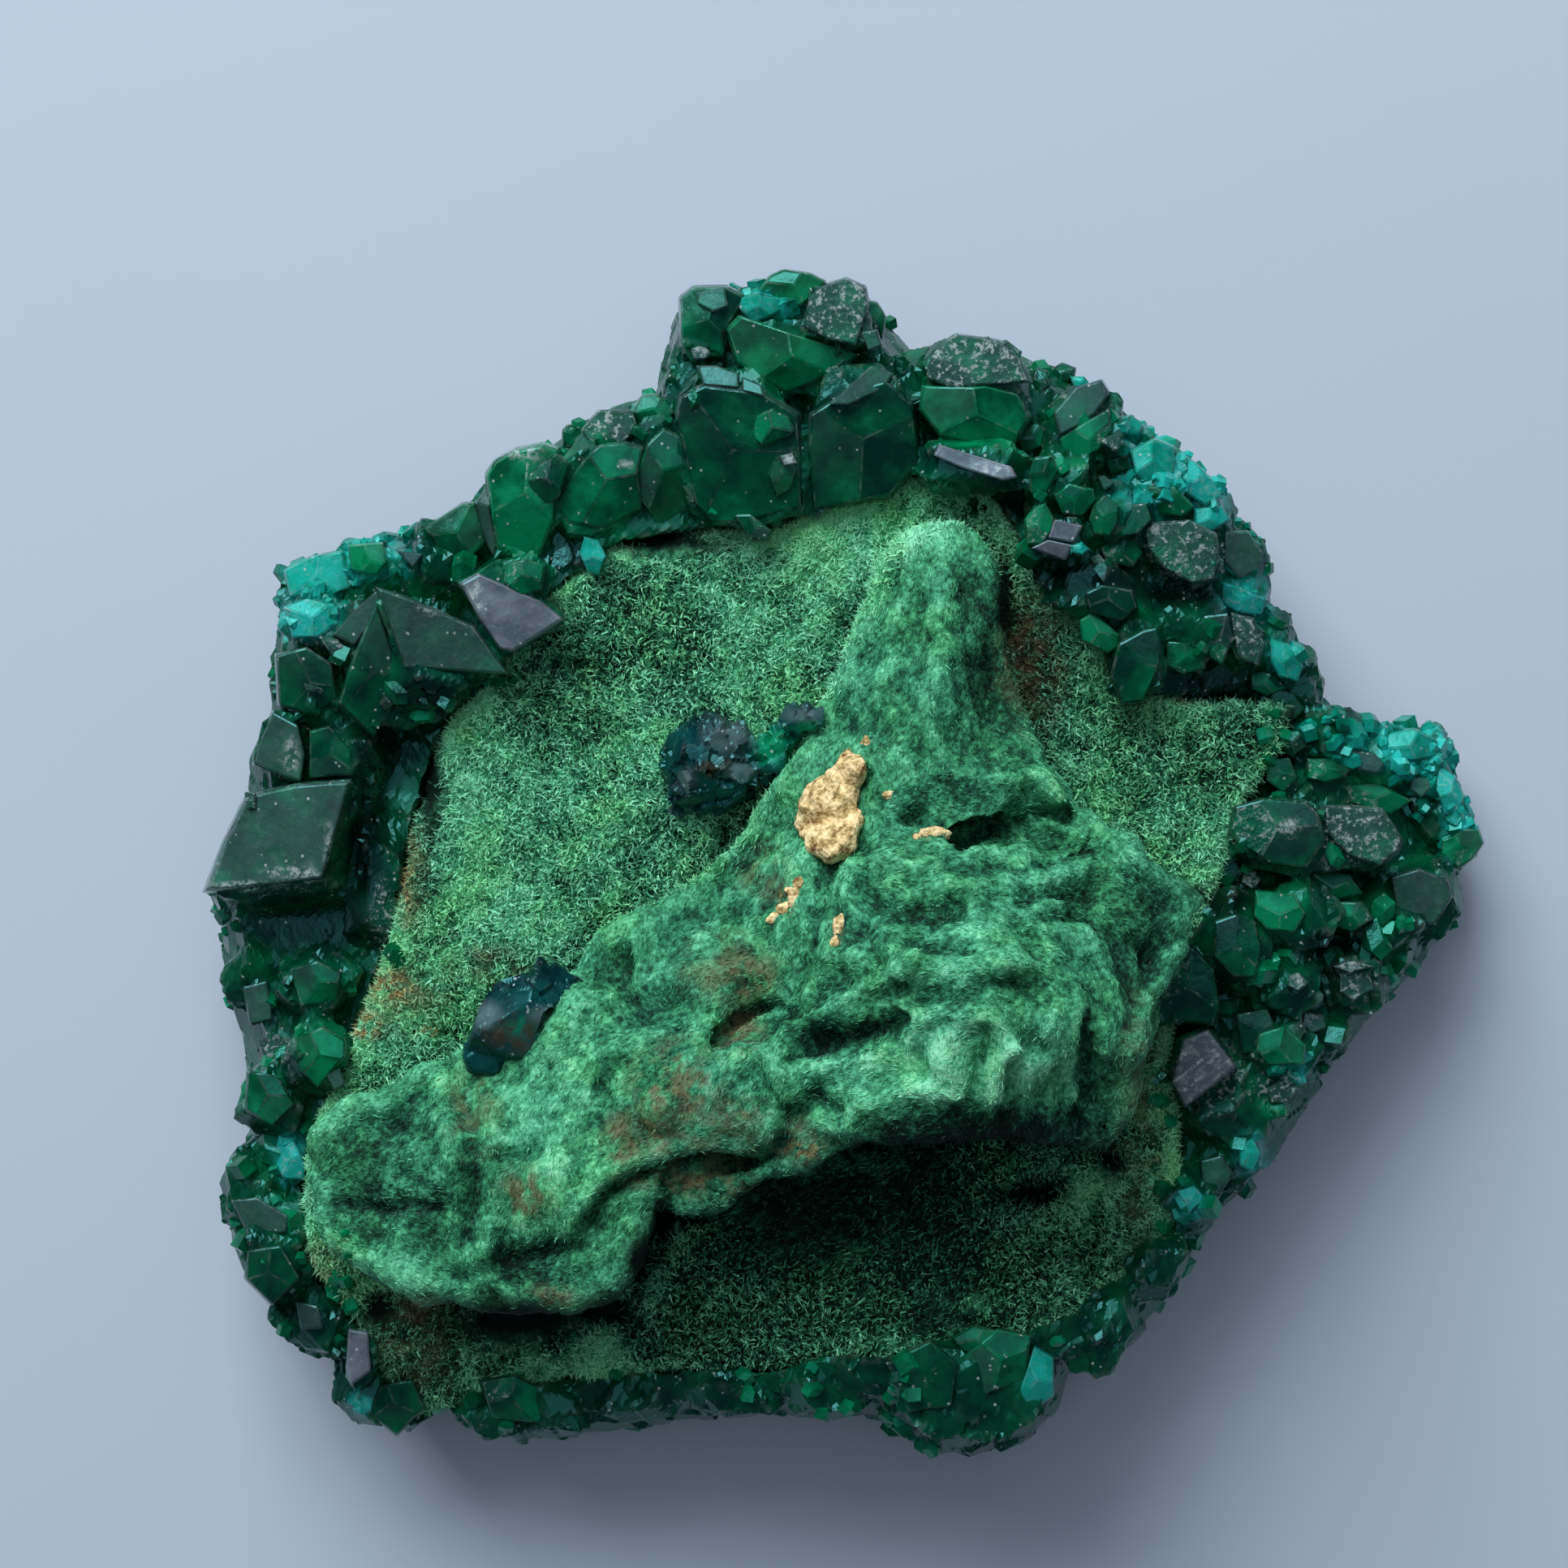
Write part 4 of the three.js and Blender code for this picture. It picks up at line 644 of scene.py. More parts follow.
def needles(name, ground, material, seed, length, width, lean):
    """Fine malachite needles, each a slim three sided point. They lie at random on the floors, and are
    shorter and follow the folds on the hill."""
    rng = np.random.default_rng(seed)
    mesh = ground.data
    black = attribute_of(mesh, "black")

    def weigh(middles, normals):
        height = middles[:, 2] / MM
        facing = np.clip(normals[:, 2] + 0.35, 0, 1)
        bare = 0.8 * np.clip(height - HILL_NEEDLES, 0, 1)
        return facing * np.clip((height - 4.5) / 2, 0.02, 1) * (1 - bare)

    roots, normals, corners = scattered(mesh, NEEDLES, rng, weigh)
    keep = rng.random(NEEDLES) > black[corners]
    roots, normals, corners = roots[keep], normals[keep], corners[keep]
    count = len(roots)
    xy = readings_of(roots)[:, :2]
    hill = np.clip(roots[:, 2] / MM - HILL_NEEDLES, 0, 1)
    random_ways = unit(rng.normal(size=(count, 3)))
    along = grain_of(xy) * rng.choice([-1, 1], count)[:, None]
    ways = random_ways + (2.2 * hill)[:, None] * along + normals * (lean * (1 - 0.6 * hill))[:, None]
    directions = unit(ways)
    below = np.einsum("ij,ij->i", directions, normals) < 0.08
    directions[below] = unit(directions[below] + 0.5 * normals[below])
    long = length * MM * rng.uniform(0.5, 1.4, count) * (1 - 0.35 * hill)
    thick = width * MM * rng.uniform(0.6, 1.25, count) * (1 - 0.3 * hill)
    side = unit(np.cross(directions, rng.normal(size=(count, 3))))
    other = np.cross(directions, side)
    base = roots - 0.2 * long[:, None] * directions
    points = []
    for third in range(3):
        angle = 2 * math.pi * third / 3
        out = side * math.cos(angle) + other * math.sin(angle)
        points.append(base + out * (thick / 2)[:, None])
    points = np.stack([*points, roots + directions * long[:, None]], 1).reshape(-1, 3)
    points[:, 2] = np.minimum(points[:, 2], HIGHEST)
    first = 4 * np.arange(count)[:, None, None]
    triangles = (first + np.array([[0, 1, 3], [1, 2, 3], [2, 0, 3]])).reshape(-1, 3)
    # Each needle takes the ground's painted shade, the painted gap shade given back, a random shade of its
    # own, and a few are painted pale as glints.
    shade = attribute_of(mesh, "shade_and_tone")[corners] + (GAP_SHADE + 0.13) * (1 - hill)
    shade = shade + (rng.beta(0.9, 1.1, count) - 0.4) * (1.0 - 0.75 * hill)
    shade += 0.5 * (rng.random(count) < 0.03) * (1 - hill)
    values = {"shade": np.clip(shade, 0, 1), "black": black[corners]}
    values.update({key: within(xy, spots) for key, spots in STAINS.items()})
    piece = mesh_object(name, points, triangles, {key: np.repeat(v, 4) for key, v in values.items()})
    dress(piece, None, material)


def crystal_points(wide, long, turn=0.0):
    """The corners of a dioptase crystal, a six sided prism closed by three rhombic faces at each end."""
    radius, half = wide / 2, long / 2
    points = [(0, 0, half), (0, 0, -half)]
    for corner in range(6):
        angle = turn + math.pi * corner / 3
        drop, rise = (0.61, 1.22) if corner % 2 == 0 else (1.22, 0.61)
        x, y = radius * math.cos(angle), radius * math.sin(angle)
        points.append((x, y, half - drop * radius))
        points.append((x, y, rise * radius - half))
    return np.array(points)


def crystal_triangles():
    """The faces that join those corners, found once from the hull of one crystal."""
    shape = bmesh.new()
    for point in crystal_points(1.0, 2.2):
        shape.verts.new(point)
    bmesh.ops.convex_hull(shape, input=shape.verts)
    shape.verts.index_update()
    bmesh.ops.recalc_face_normals(shape, faces=shape.faces)
    found = [[v.index for v in face.verts] for face in shape.faces]
    shape.free()
    return np.array(found)


def tree_of(mesh):
    """The mesh, ready for rays."""
    return BVHTree.FromPolygons([tuple(p) for p in points_of(mesh)], triangles_of(mesh).tolist())


def ground_at(tree, x, y):
    """The place on the surface that is seen at reading x, y, or None if there is no surface."""
    towards = (seen(x, y, SHARP_HEIGHT) - EYE).normalized()
    return tree.ray_cast(EYE, towards)[0]


def over_crust(tree, outline):
    """The outline, moved a little towards or away from the middle if no crust is below. None if none is."""
    outline = np.array(outline)
    for scale in (1.0, 0.98, 1.02, 0.96, 1.04, 0.94, 1.06):
        if ground_at(tree, *(scale * outline.mean(0))) is not None:
            return scale * outline
    return None


def to_edge(outline, start, way):
    """How far it is from start along way to the outline."""
    reach = []
    for a, b in zip(outline, np.roll(outline, -1, 0)):
        side = b - a
        turn = way[0] * side[1] - way[1] * side[0]
        if abs(turn) > 1e-9:
            distance = ((a - start)[0] * side[1] - (a - start)[1] * side[0]) / turn
            share = ((a - start)[0] * way[1] - (a - start)[1] * way[0]) / turn
            if distance > 0 and -1e-6 <= share <= 1 + 1e-6:
                reach.append(distance)
    return min(reach) if reach else 0.0


THIRDS = (0, 2.09, 4.19)  # of a turn
LOWEST = 0.3  # of a block's corners, in millimetres


def outline_block(tree, lift, climb, outline, steep, rng):
    """The corners of a crystal with this outline seen from above, closed by one flat face, or by the three
    faces of a rhombohedron if steep isn't 0. Its top is a little narrower and lies just over the crust. Its
    sides go down under the crust and widen."""
    middle = outline.mean(0)
    size = np.linalg.norm(outline - middle, axis=1).mean()
    inner = middle + 0.94 * (outline - middle)
    heights = [ground_at(tree, *middle).z / MM]
    for x, y in middle + 0.7 * (outline - middle):
        place = ground_at(tree, x, y)
        if place is not None:
            heights.append(place.z / MM - np.dot(climb, (x - middle[0], y - middle[1])))
    top = min(np.percentile(heights, 80) + lift + 0.35 * steep * size, heights[0] + 1.6)
    start = rng.uniform(0, 2 * math.pi)
    ways = [np.array([math.cos(start + turn), math.sin(start + turn)]) for turn in THIRDS]
    slopes = [np.array(climb) + steep * rng.uniform(0.75, 1.25) * way for way in ways]
    levels = rng.uniform(-0.12, 0.12, 3) * size * steep

    def cap(places):
        away = places - middle
        return top + np.min([away @ slope + level for slope, level in zip(slopes, levels)], axis=0)

    flats = [inner]
    if steep:
        gaps = np.array([slopes[0] - slopes[1], slopes[0] - slopes[2]])
        peak = middle + np.linalg.solve(gaps, [levels[1] - levels[0], levels[2] - levels[0]])
        flats.append(peak[None])
        for i, j in ((0, 1), (0, 2), (1, 2)):
            gap = slopes[i] - slopes[j]
            way = np.array([-gap[1], gap[0]]) / np.linalg.norm(gap)
            way = way if way @ (ways[i] + ways[j]) < 0 else -way
            flats.append((peak + way * to_edge(inner, peak, way))[None])
    flats = np.concatenate(flats)
    rim = np.concatenate([outline, middle + 1.05 * (outline - middle)])
    drops = np.repeat([0.1 * size + 0.03, 0.9 * size + 0.8], len(outline))
    places = np.concatenate([flats, rim])
    heights = np.maximum(np.concatenate([cap(flats), cap(rim) - drops]), LOWEST)
    return [seen(x, y, z) for (x, y), z in zip(places, heights)]


def bevelled_hull(corners, bevel):
    """Triangles of the hull of the corners with its edges cut off. For each also the number of its face, or
    -1 for such a cut."""
    shape = bmesh.new()
    for corner in corners:
        shape.verts.new(corner)
    bmesh.ops.convex_hull(shape, input=shape.verts)
    bmesh.ops.delete(shape, geom=[v for v in shape.verts if not v.link_faces], context="VERTS")
    bmesh.ops.dissolve_limit(shape, angle_limit=0.06, verts=shape.verts, edges=shape.edges)
    bmesh.ops.recalc_face_normals(shape, faces=shape.faces)
    cut = set(bmesh.ops.bevel(
        shape, geom=shape.edges, offset=bevel * MM, segments=1, affect="EDGES")["faces"])
    triangles, numbers = [], []
    for number, face in enumerate(shape.faces):
        places = [np.array(v.co) for v in face.verts]
        for second, third in zip(places[1:], places[2:]):
            triangles.append((places[0], second, third))
            numbers.append(-1 if face in cut else number)
    shape.free()
    return np.array(triangles), np.array(numbers)


def split(triangles, parts):
    """Every triangle cut into parts x parts smaller ones."""
    a, b, c = triangles[:, 0], triangles[:, 1], triangles[:, 2]

    def place(i, j):
        return a + (b - a) * (i / parts) + (c - a) * (j / parts)

    pieces = []
    for i in range(parts):
        for j in range(parts - i):
            pieces.append(np.stack([place(i, j), place(i + 1, j), place(i, j + 1)], 1))
            if i + j < parts - 1:
                pieces.append(np.stack([place(i + 1, j), place(i + 1, j + 1), place(i, j + 1)], 1))
    return np.stack(pieces, 1)


WORN_EDGE = 0.045  # width of a block's worn edges, in millimetres
FACE_STEP = 0.35  # size of the triangles that its faces are cut into
STRIPED_PARTS = 28


def block_shape(triangles, numbers, kind, seed):
    """The block with its faces cut small and made slightly uneven: the corners of its triangles, the number
    of the face at each corner, its middle and its reach."""
    middle = triangles.reshape(-1, 3).mean(0)
    reach = np.linalg.norm(triangles.reshape(-1, 3) - middle, axis=1).max()
    parts = STRIPED_PARTS if kind == "striped" else int(np.clip(reach / (FACE_STEP * MM), 2, 9))
    worn = numbers < 0
    faces, cuts = split(triangles[~worn], parts), triangles[worn]
    points = np.concatenate([faces.reshape(-1, 3), cuts.reshape(-1, 3)])
    numbers = np.concatenate([np.repeat(numbers[~worn], faces.shape[1] * 3), np.full(3 * len(cuts), -1)])
    wobble = 0.02 * noise(points / MM, 0.9, seed) + 0.03 * (numbers < 0) * noise(points / MM, 0.3, seed + 1)
    away = points - middle
    points = points + away / np.linalg.norm(away, axis=1)[:, None] * wobble[:, None] * MM
    return points, numbers, middle, reach


def block_looks(points, numbers, middle, reach, kind, seed, rng):
    """What each point of a block looks like. No two faces are quite alike. The side away from the light gets
    the most painted glow, the side towards it more painted grey reflection, and a few faces of the clear
    kinds painted glints."""
    bright, turquoise, glitter, slate, _ = KINDS[kind]
    plain = kind in ("deep", "green", "emerald")
    edges = (numbers < 0).astype(float)
    count = numbers.max() + 2
    own = rng.normal(size=count)[numbers]
    xy = readings_of(points)[:, :2]
    lower = np.clip((readings_of(middle[None])[0, 1] - xy[:, 1]) * MM / reach, -1, 1)
    # Painted glints on a few faces of the clear kinds, and painted grey reflection on random faces and more
    # on the side towards the light.
    glints = 0.7 * (own > 1.3) * (1 - edges) * plain
    frost_and_sheen = np.clip(0.14 * rng.normal(size=count)[numbers] - 0.25 * lower, 0, 0.45) * plain
    shine = within(xy, SHINE_SPOTS)
    # A striped face gets its painted reflection in stripes along its striations.
    if kind == "striped":
        across, along = xy @ (-0.62, 0.785), xy @ (0.785, 0.62)
        lines = noise(np.stack([across / 0.12, along / 1.6, 0 * along], 1), 1.0, seed)
        shine = np.clip(0.1 + 1.6 * lines, 0, 1)
    return {
        "bright": bright + 0.3 * lower + 0.22 * own, "turquoise": np.full(len(points), turquoise),
        "glitter": np.clip(glitter + glints, 0, 1), "slate": np.clip(slate + frost_and_sheen, 0, 1),
        "edge": edges, "shine": shine,
    }


def blocks(name, ground, material, kinds, seed):
    """The crystals of these kinds that are known one by one, each a hull with worn edges."""
    rng = np.random.default_rng(seed)
    tree = tree_of(ground.data)
    all_points, all_looks = [], []
    for kind, lift, climb_x, climb_y, outline in BLOCKS:
        outline = over_crust(tree, outline)
        if kind not in kinds or outline is None:
            continue
        *_, steep = KINDS[kind]
        corners = outline_block(tree, lift, (climb_x, climb_y), outline, steep, rng)
        triangles, numbers = bevelled_hull(corners, WORN_EDGE)
        points, numbers, middle, reach = block_shape(triangles, numbers, kind, seed)
        all_points.append(points)
        all_looks.append(block_looks(points, numbers, middle, reach, kind, seed, rng))
    points = np.concatenate(all_points)
    points[:, 2] = np.clip(points[:, 2], 0, HIGHEST)
    values = {key: np.concatenate([looks[key] for looks in all_looks]) for key in all_looks[0]}
    piece = mesh_object(name, points, np.arange(len(points)).reshape(-1, 3), values)
    dress(piece, None, material)


def clear_of(read, spots):
    """Whether each place lies outside all of the spots."""
    keep = np.ones(len(read), bool)
    for x, y, half_x, half_y in spots:
        keep &= np.hypot((read[:, 0] - x) / half_x, (read[:, 1] - y) / half_y) > 1
    return keep


def druse(name, ground, material, count, seed, small, large, sink, keep_clear=(), only=None):
    """Many crystals from small to large that stand on the ground, if wanted only on some spots. sink is the
    share of each that is under it."""
    rng = np.random.default_rng(seed)

    def weigh(middles, normals):
        read = readings_of(middles)
        lumpy = np.clip(0.5 + 1.6 * noise(middles / MM, 3.0, seed), 0.05, 1.5)
        share = np.clip(normals[:, 2] + 0.2, 0, 1) * clear_of(read, keep_clear)
        return share * (lumpy if only is None else within(read[:, :2], only))

    roots, normals, _ = scattered(ground.data, count, rng, weigh)
    triangles = crystal_triangles()
    corners = triangles.max() + 1
    all_points = []
    for root, normal in zip(roots, normals):
        wide = small + (large - small) * rng.random() ** 2.2
        long = wide * rng.uniform(1.25, 1.9)
        axis = Vector(normal * 0.9 + rng.normal(size=3) * 0.75).normalized()
        spin = Vector((0, 0, 1)).rotation_difference(axis).to_matrix()
        points = crystal_points(wide, long, rng.uniform(0, 1)) @ np.array(spin).T
        all_points.append(root + (points + np.array(axis) * long * (0.5 - sink - 0.2 * rng.random())) * MM)
    points = np.concatenate(all_points)
    points[:, 2] = np.clip(points[:, 2], 0, HIGHEST)
    xy = readings_of(points)[:, :2]
    values = {key: within(xy, ZONES[key]) for key in ("turquoise", "dim")}
    values["bright"] = 0.3 * np.repeat(rng.normal(size=count), corners)
    triangles = np.concatenate([triangles + corners * index for index in range(count)])
    dress(mesh_object(name, points, triangles, values), None, material)


def crumbs(name, ground, material, places, seed):
    """Lumps of sandy limonite on the ground."""
    tree = tree_of(ground.data)
    ball = bmesh.new()
    bmesh.ops.create_icosphere(ball, subdivisions=3, radius=1)
    round_points = np.array([v.co for v in ball.verts])
    round_triangles = np.array([[v.index for v in face.verts] for face in ball.faces])
    ball.free()
    all_points, all_triangles = [], []
    for index, (x, y, half_x, half_y) in enumerate(places):
        lumpy = 1 + 0.45 * fractal(round_points + 7 * index, 0.9, octaves=3, seed=seed)[:, None]
        shaped = round_points * lumpy * (half_x, half_y, 0.6 * min(half_x, half_y))
        turned = shaped @ np.array(Matrix.Rotation(-LONG_AXIS, 3, "Z")).T
        all_points.append(np.array(ground_at(tree, x, y)) + turned * MM)
        all_triangles.append(round_triangles + len(round_points) * index)
    piece = mesh_object(name, np.concatenate(all_points), np.concatenate(all_triangles))
    dress(piece, None, material, smooth=True)


def crystal_mass(name, node, material, plain_spots, voxel, cells, tilt, seed):
    """The node's crystals with worn edges, which the look also paints pale as edge highlights, stepped faces
    and, away from the plain spots, a relief of small intergrown crystals."""
    piece = remeshed(name, node, voxel, smoothing=0, flat=True)
    mesh = piece.data
    points, normals = points_of(mesh), normals_of(mesh)
    mm = points / MM
    xy = readings_of(points)[:, :2]
    plain = within(xy, plain_spots) * np.clip((normals[:, 2] + 0.2) / 0.5, 0, 1)
    rise = (1 - plain) * facets(mm + 0.2 * noise(mm, 1.5, seed)[:, None], cells, tilt, seed)
    rise += 0.25 * plain * facets(mm, 1.6, tilt=0.05, seed=seed + 20)
    move_along(mesh, points, normals, rise, lowest=points[:, 2].min())
    set_attribute(mesh, "edge", np.clip((standing_out(mesh, rounds=2) - 0.02) / 0.06, 0, 1))
    for key, spots in ZONES.items():
        set_attribute(mesh, key, within(xy, spots))
    dress(piece, node, material)
    return piece


# Crumbs of limonite: x, y, half widths.
CRUMBS = [
    (0.35, -4.05, 0.22, 0.35), (0.05, -4.5, 0.3, 0.24), (-0.35, -4.75, 0.24, 0.18), (0.5, -3.5, 0.14, 0.2),
    (1.95, -5.1, 0.2, 0.42), (1.85, -5.7, 0.16, 0.24), (5.2, -1.75, 0.45, 0.2), (5.75, -1.8, 0.22, 0.16),
    (4.75, -1.9, 0.18, 0.12), (3.7, -0.4, 0.22, 0.14), (0.15, -3.8, 0.14, 0.12), (2.9, 1.5, 0.16, 0.2),
]
# Large flat faces that stay plain.
BIG_FACES = [
    (-17.8, -2.0, 2.8, 2.2), (-9.9, 6.4, 1.8, 1.5), (-18.0, 1.3, 1.1, 1.3), (-12.2, 5.0, 2.6, 1.8),
    (14.9, -10.2, 1.2, 1.3), (14.4, -7.0, 1.1, 1.6), (6.7, 11.3, 1.6, 0.8), (-1.4, 11.8, 2.2, 2.4),
    (2.9, 11.9, 2.0, 2.2), (16.1, -5.6, 1.2, 1.4), (-9.3, 10.0, 1.3, 2.0), (-4.4, 11.0, 1.0, 1.8),
    (-6.7, 10.4, 1.2, 1.6), (7.0, 13.2, 1.6, 1.2), (-16.8, -5.0, 2.4, 1.4), (-3.0, 16.2, 0.9, 1.2),
]
# What the crystals look like from place to place.
TURQUOISE_SPOTS = [
    (-17.0, 6.0, 1.1, 0.9), (-15.4, 8.0, 2.0, 0.9), (-0.6, 17.0, 1.3, 0.6), (14.2, 10.8, 2.2, 1.7),
    (16.4, 6.6, 1.1, 0.9), (17.6, 4.7, 0.6, 0.6), (22.6, 1.4, 2.2, 1.0), (24.3, -1.4, 0.8, 1.4),
    (-17.6, -13.3, 0.6, 0.9), (18.5, -10.2, 0.4, 0.5), (14.4, -15.0, 0.6, 0.6), (19.8, 1.0, 0.4, 0.4),
    (-18.6, -1.7, 0.3, 0.25), (-15.0, -22.0, 0.5, 0.4), (16.6, -13.2, 0.6, 0.8), (13.0, 12.2, 1.4, 0.8),
]
# Where the crystals are painted with a brighter glow of light let through.
BRIGHT_SPOTS = [
    (0.2, 15.3, 1.6, 0.9), (-6.6, 9.6, 1.6, 0.9), (-9.2, 9.0, 1.0, 1.0), (7.0, 12.4, 1.6, 0.6),
    (17.7, -4.6, 1.3, 0.8), (17.8, -9.6, 0.9, 0.6), (-16.4, -9.6, 0.9, 0.9), (9.0, 9.3, 0.6, 0.8),
    (19.4, 0.7, 0.6, 0.4), (24.2, -2.2, 0.7, 0.5), (14.1, 4.6, 0.8, 0.6), (6.6, -18.4, 1.0, 0.5),
    (-15.8, 7.6, 1.8, 0.8), (11.6, 6.4, 1.1, 0.6), (17.5, -11.6, 0.6, 0.4), (21.4, 0.4, 1.6, 0.8),
    (-0.3, 1.4, 0.9, 0.8), (0.8, 2.0, 0.5, 0.4),
]
# Where the crystals are painted with glints.
GLITTER_SPOTS = [
    (-16.1, 4.9, 0.9, 0.5), (2.0, 16.8, 1.3, 1.1), (7.0, 15.0, 1.5, 0.9), (14.3, 8.3, 1.6, 1.1),
    (16.4, 5.0, 0.7, 0.9), (20.0, -1.9, 1.4, 1.1), (20.6, -7.0, 1.0, 0.7), (15.2, -10.4, 1.2, 1.2),
    (17.6, -10.8, 1.0, 0.6), (-18.0, -9.4, 0.6, 0.5), (-17.9, -3.6, 1.8, 0.35), (10.6, 13.4, 0.9, 0.7),
    (-19.5, -0.7, 0.4, 0.4), (14.8, 10.9, 0.8, 0.9), (-14.3, -4.8, 0.4, 1.3), (1.2, 14.9, 0.9, 0.6),
]
# Where small turquoise crystals stand.
TURQUOISE_AREAS = [
    (14.2, 10.9, 1.7, 1.3), (16.4, 8.2, 0.6, 1.0), (16.5, 6.5, 0.8, 0.6), (17.7, 4.4, 0.6, 0.9),
    (21.0, 1.2, 2.4, 0.9), (23.0, 0.4, 1.2, 1.6), (24.0, -1.4, 0.7, 1.3), (-16.6, 7.2, 1.6, 0.9),
    (-17.0, 5.9, 0.8, 0.6), (-0.5, 17.2, 1.4, 0.5), (-17.7, -13.2, 0.4, 0.8), (12.9, 12.5, 0.8, 0.5),
    (18.0, -9.9, 0.7, 0.4), (14.2, -15.0, 0.5, 0.5), (19.2, 2.2, 1.2, 0.5), (-14.2, 8.9, 0.9, 0.3),
]
# Where small crystals stand along the edges of the malachite floors.
RIM_AREAS = [
    (15.0, 3.1, 2.6, 0.3), (12.4, 5.3, 0.4, 1.4), (17.5, 1.6, 0.4, 1.6), (16.4, -1.4, 0.3, 1.2),
    (-12.9, 1.4, 0.3, 1.2), (-13.8, -6.2, 0.4, 1.2), (-7.0, 7.6, 1.6, 0.3), (-10.2, 3.9, 0.8, 0.3),
    (13.6, -10.4, 0.3, 2.2), (13.4, -14.8, 0.4, 2.0), (2.0, -21.6, 6.0, 0.4), (-7.6, -21.2, 3.0, 0.4),
    (-15.8, -17.4, 0.5, 1.6), (7.0, 9.8, 1.0, 0.3),
]
BROWN_SPOTS = [(-9.5, -8.9, 1.4, 0.7), (-2.4, 0.6, 0.7, 0.35), (-3.3, 0.9, 0.3, 0.3)]
# Where faces are painted grey as a reflection of the light.
SLATE_REFLECTION_SPOTS = [
    (-2.0, 1.7, 0.9, 0.6), (-3.5, 0.2, 0.4, 0.4), (-1.6, 0.5, 0.5, 0.3), (0.6, 2.5, 0.7, 0.3),
    (-10.6, -8.2, 0.5, 0.5), (-8.6, -8.2, 0.5, 0.3),
]
# Sides and hollows that no light reaches.
DIM_SPOTS = [
    (-17.2, -5.1, 2.4, 0.9), (-14.9, -2.2, 0.8, 2.8), (10.4, 7.3, 2.2, 0.6), (14.0, 6.9, 1.6, 0.7),
    (15.6, -4.2, 1.4, 0.6), (19.6, -5.7, 1.8, 0.5), (14.6, -7.2, 1.2, 1.4), (15.0, 3.4, 2.4, 0.7),
    (-12.8, 3.2, 1.8, 0.6), (-14.4, 1.2, 1.2, 1.0), (7.6, 9.8, 1.6, 0.5), (-7.4, 8.2, 0.7, 0.6),
]
LEDGE_FACES = [(-9.4, -8.6, 2.0, 1.2)]
ZONES = {
    "turquoise": TURQUOISE_SPOTS, "bright": BRIGHT_SPOTS, "glitter": GLITTER_SPOTS, "brown": BROWN_SPOTS,
    "slate": SLATE_REFLECTION_SPOTS, "dim": DIM_SPOTS,
}
# Where the blocks' faces mirror the light.
SHINE_SPOTS = [
    (-19.4, -3.6, 1.2, 0.12), (-17.4, -3.15, 1.0, 0.2), (-16.2, -2.4, 0.12, 0.9), (20.2, -6.4, 0.9, 0.2),
    (-3.0, 15.4, 0.35, 0.2), (0.2, 11.6, 0.3, 0.25), (16.7, -3.3, 0.4, 0.4), (7.4, 11.2, 0.7, 0.2),
    (-11.0, 6.5, 0.3, 0.9), (-7.7, 11.6, 0.3, 0.15), (-5.6, 11.4, 0.25, 0.12), (11.4, 8.0, 0.3, 0.2),
    (18.8, -8.3, 0.3, 0.3), (18.3, -7.0, 0.3, 0.3), (14.6, -9.0, 0.6, 0.3), (-9.2, 11.8, 0.6, 0.25),
    (-12.3, 6.2, 0.9, 0.12), (13.2, 9.0, 0.5, 0.25), (17.9, -1.5, 0.5, 0.3), (-17.6, 1.0, 0.2, 0.6),
]
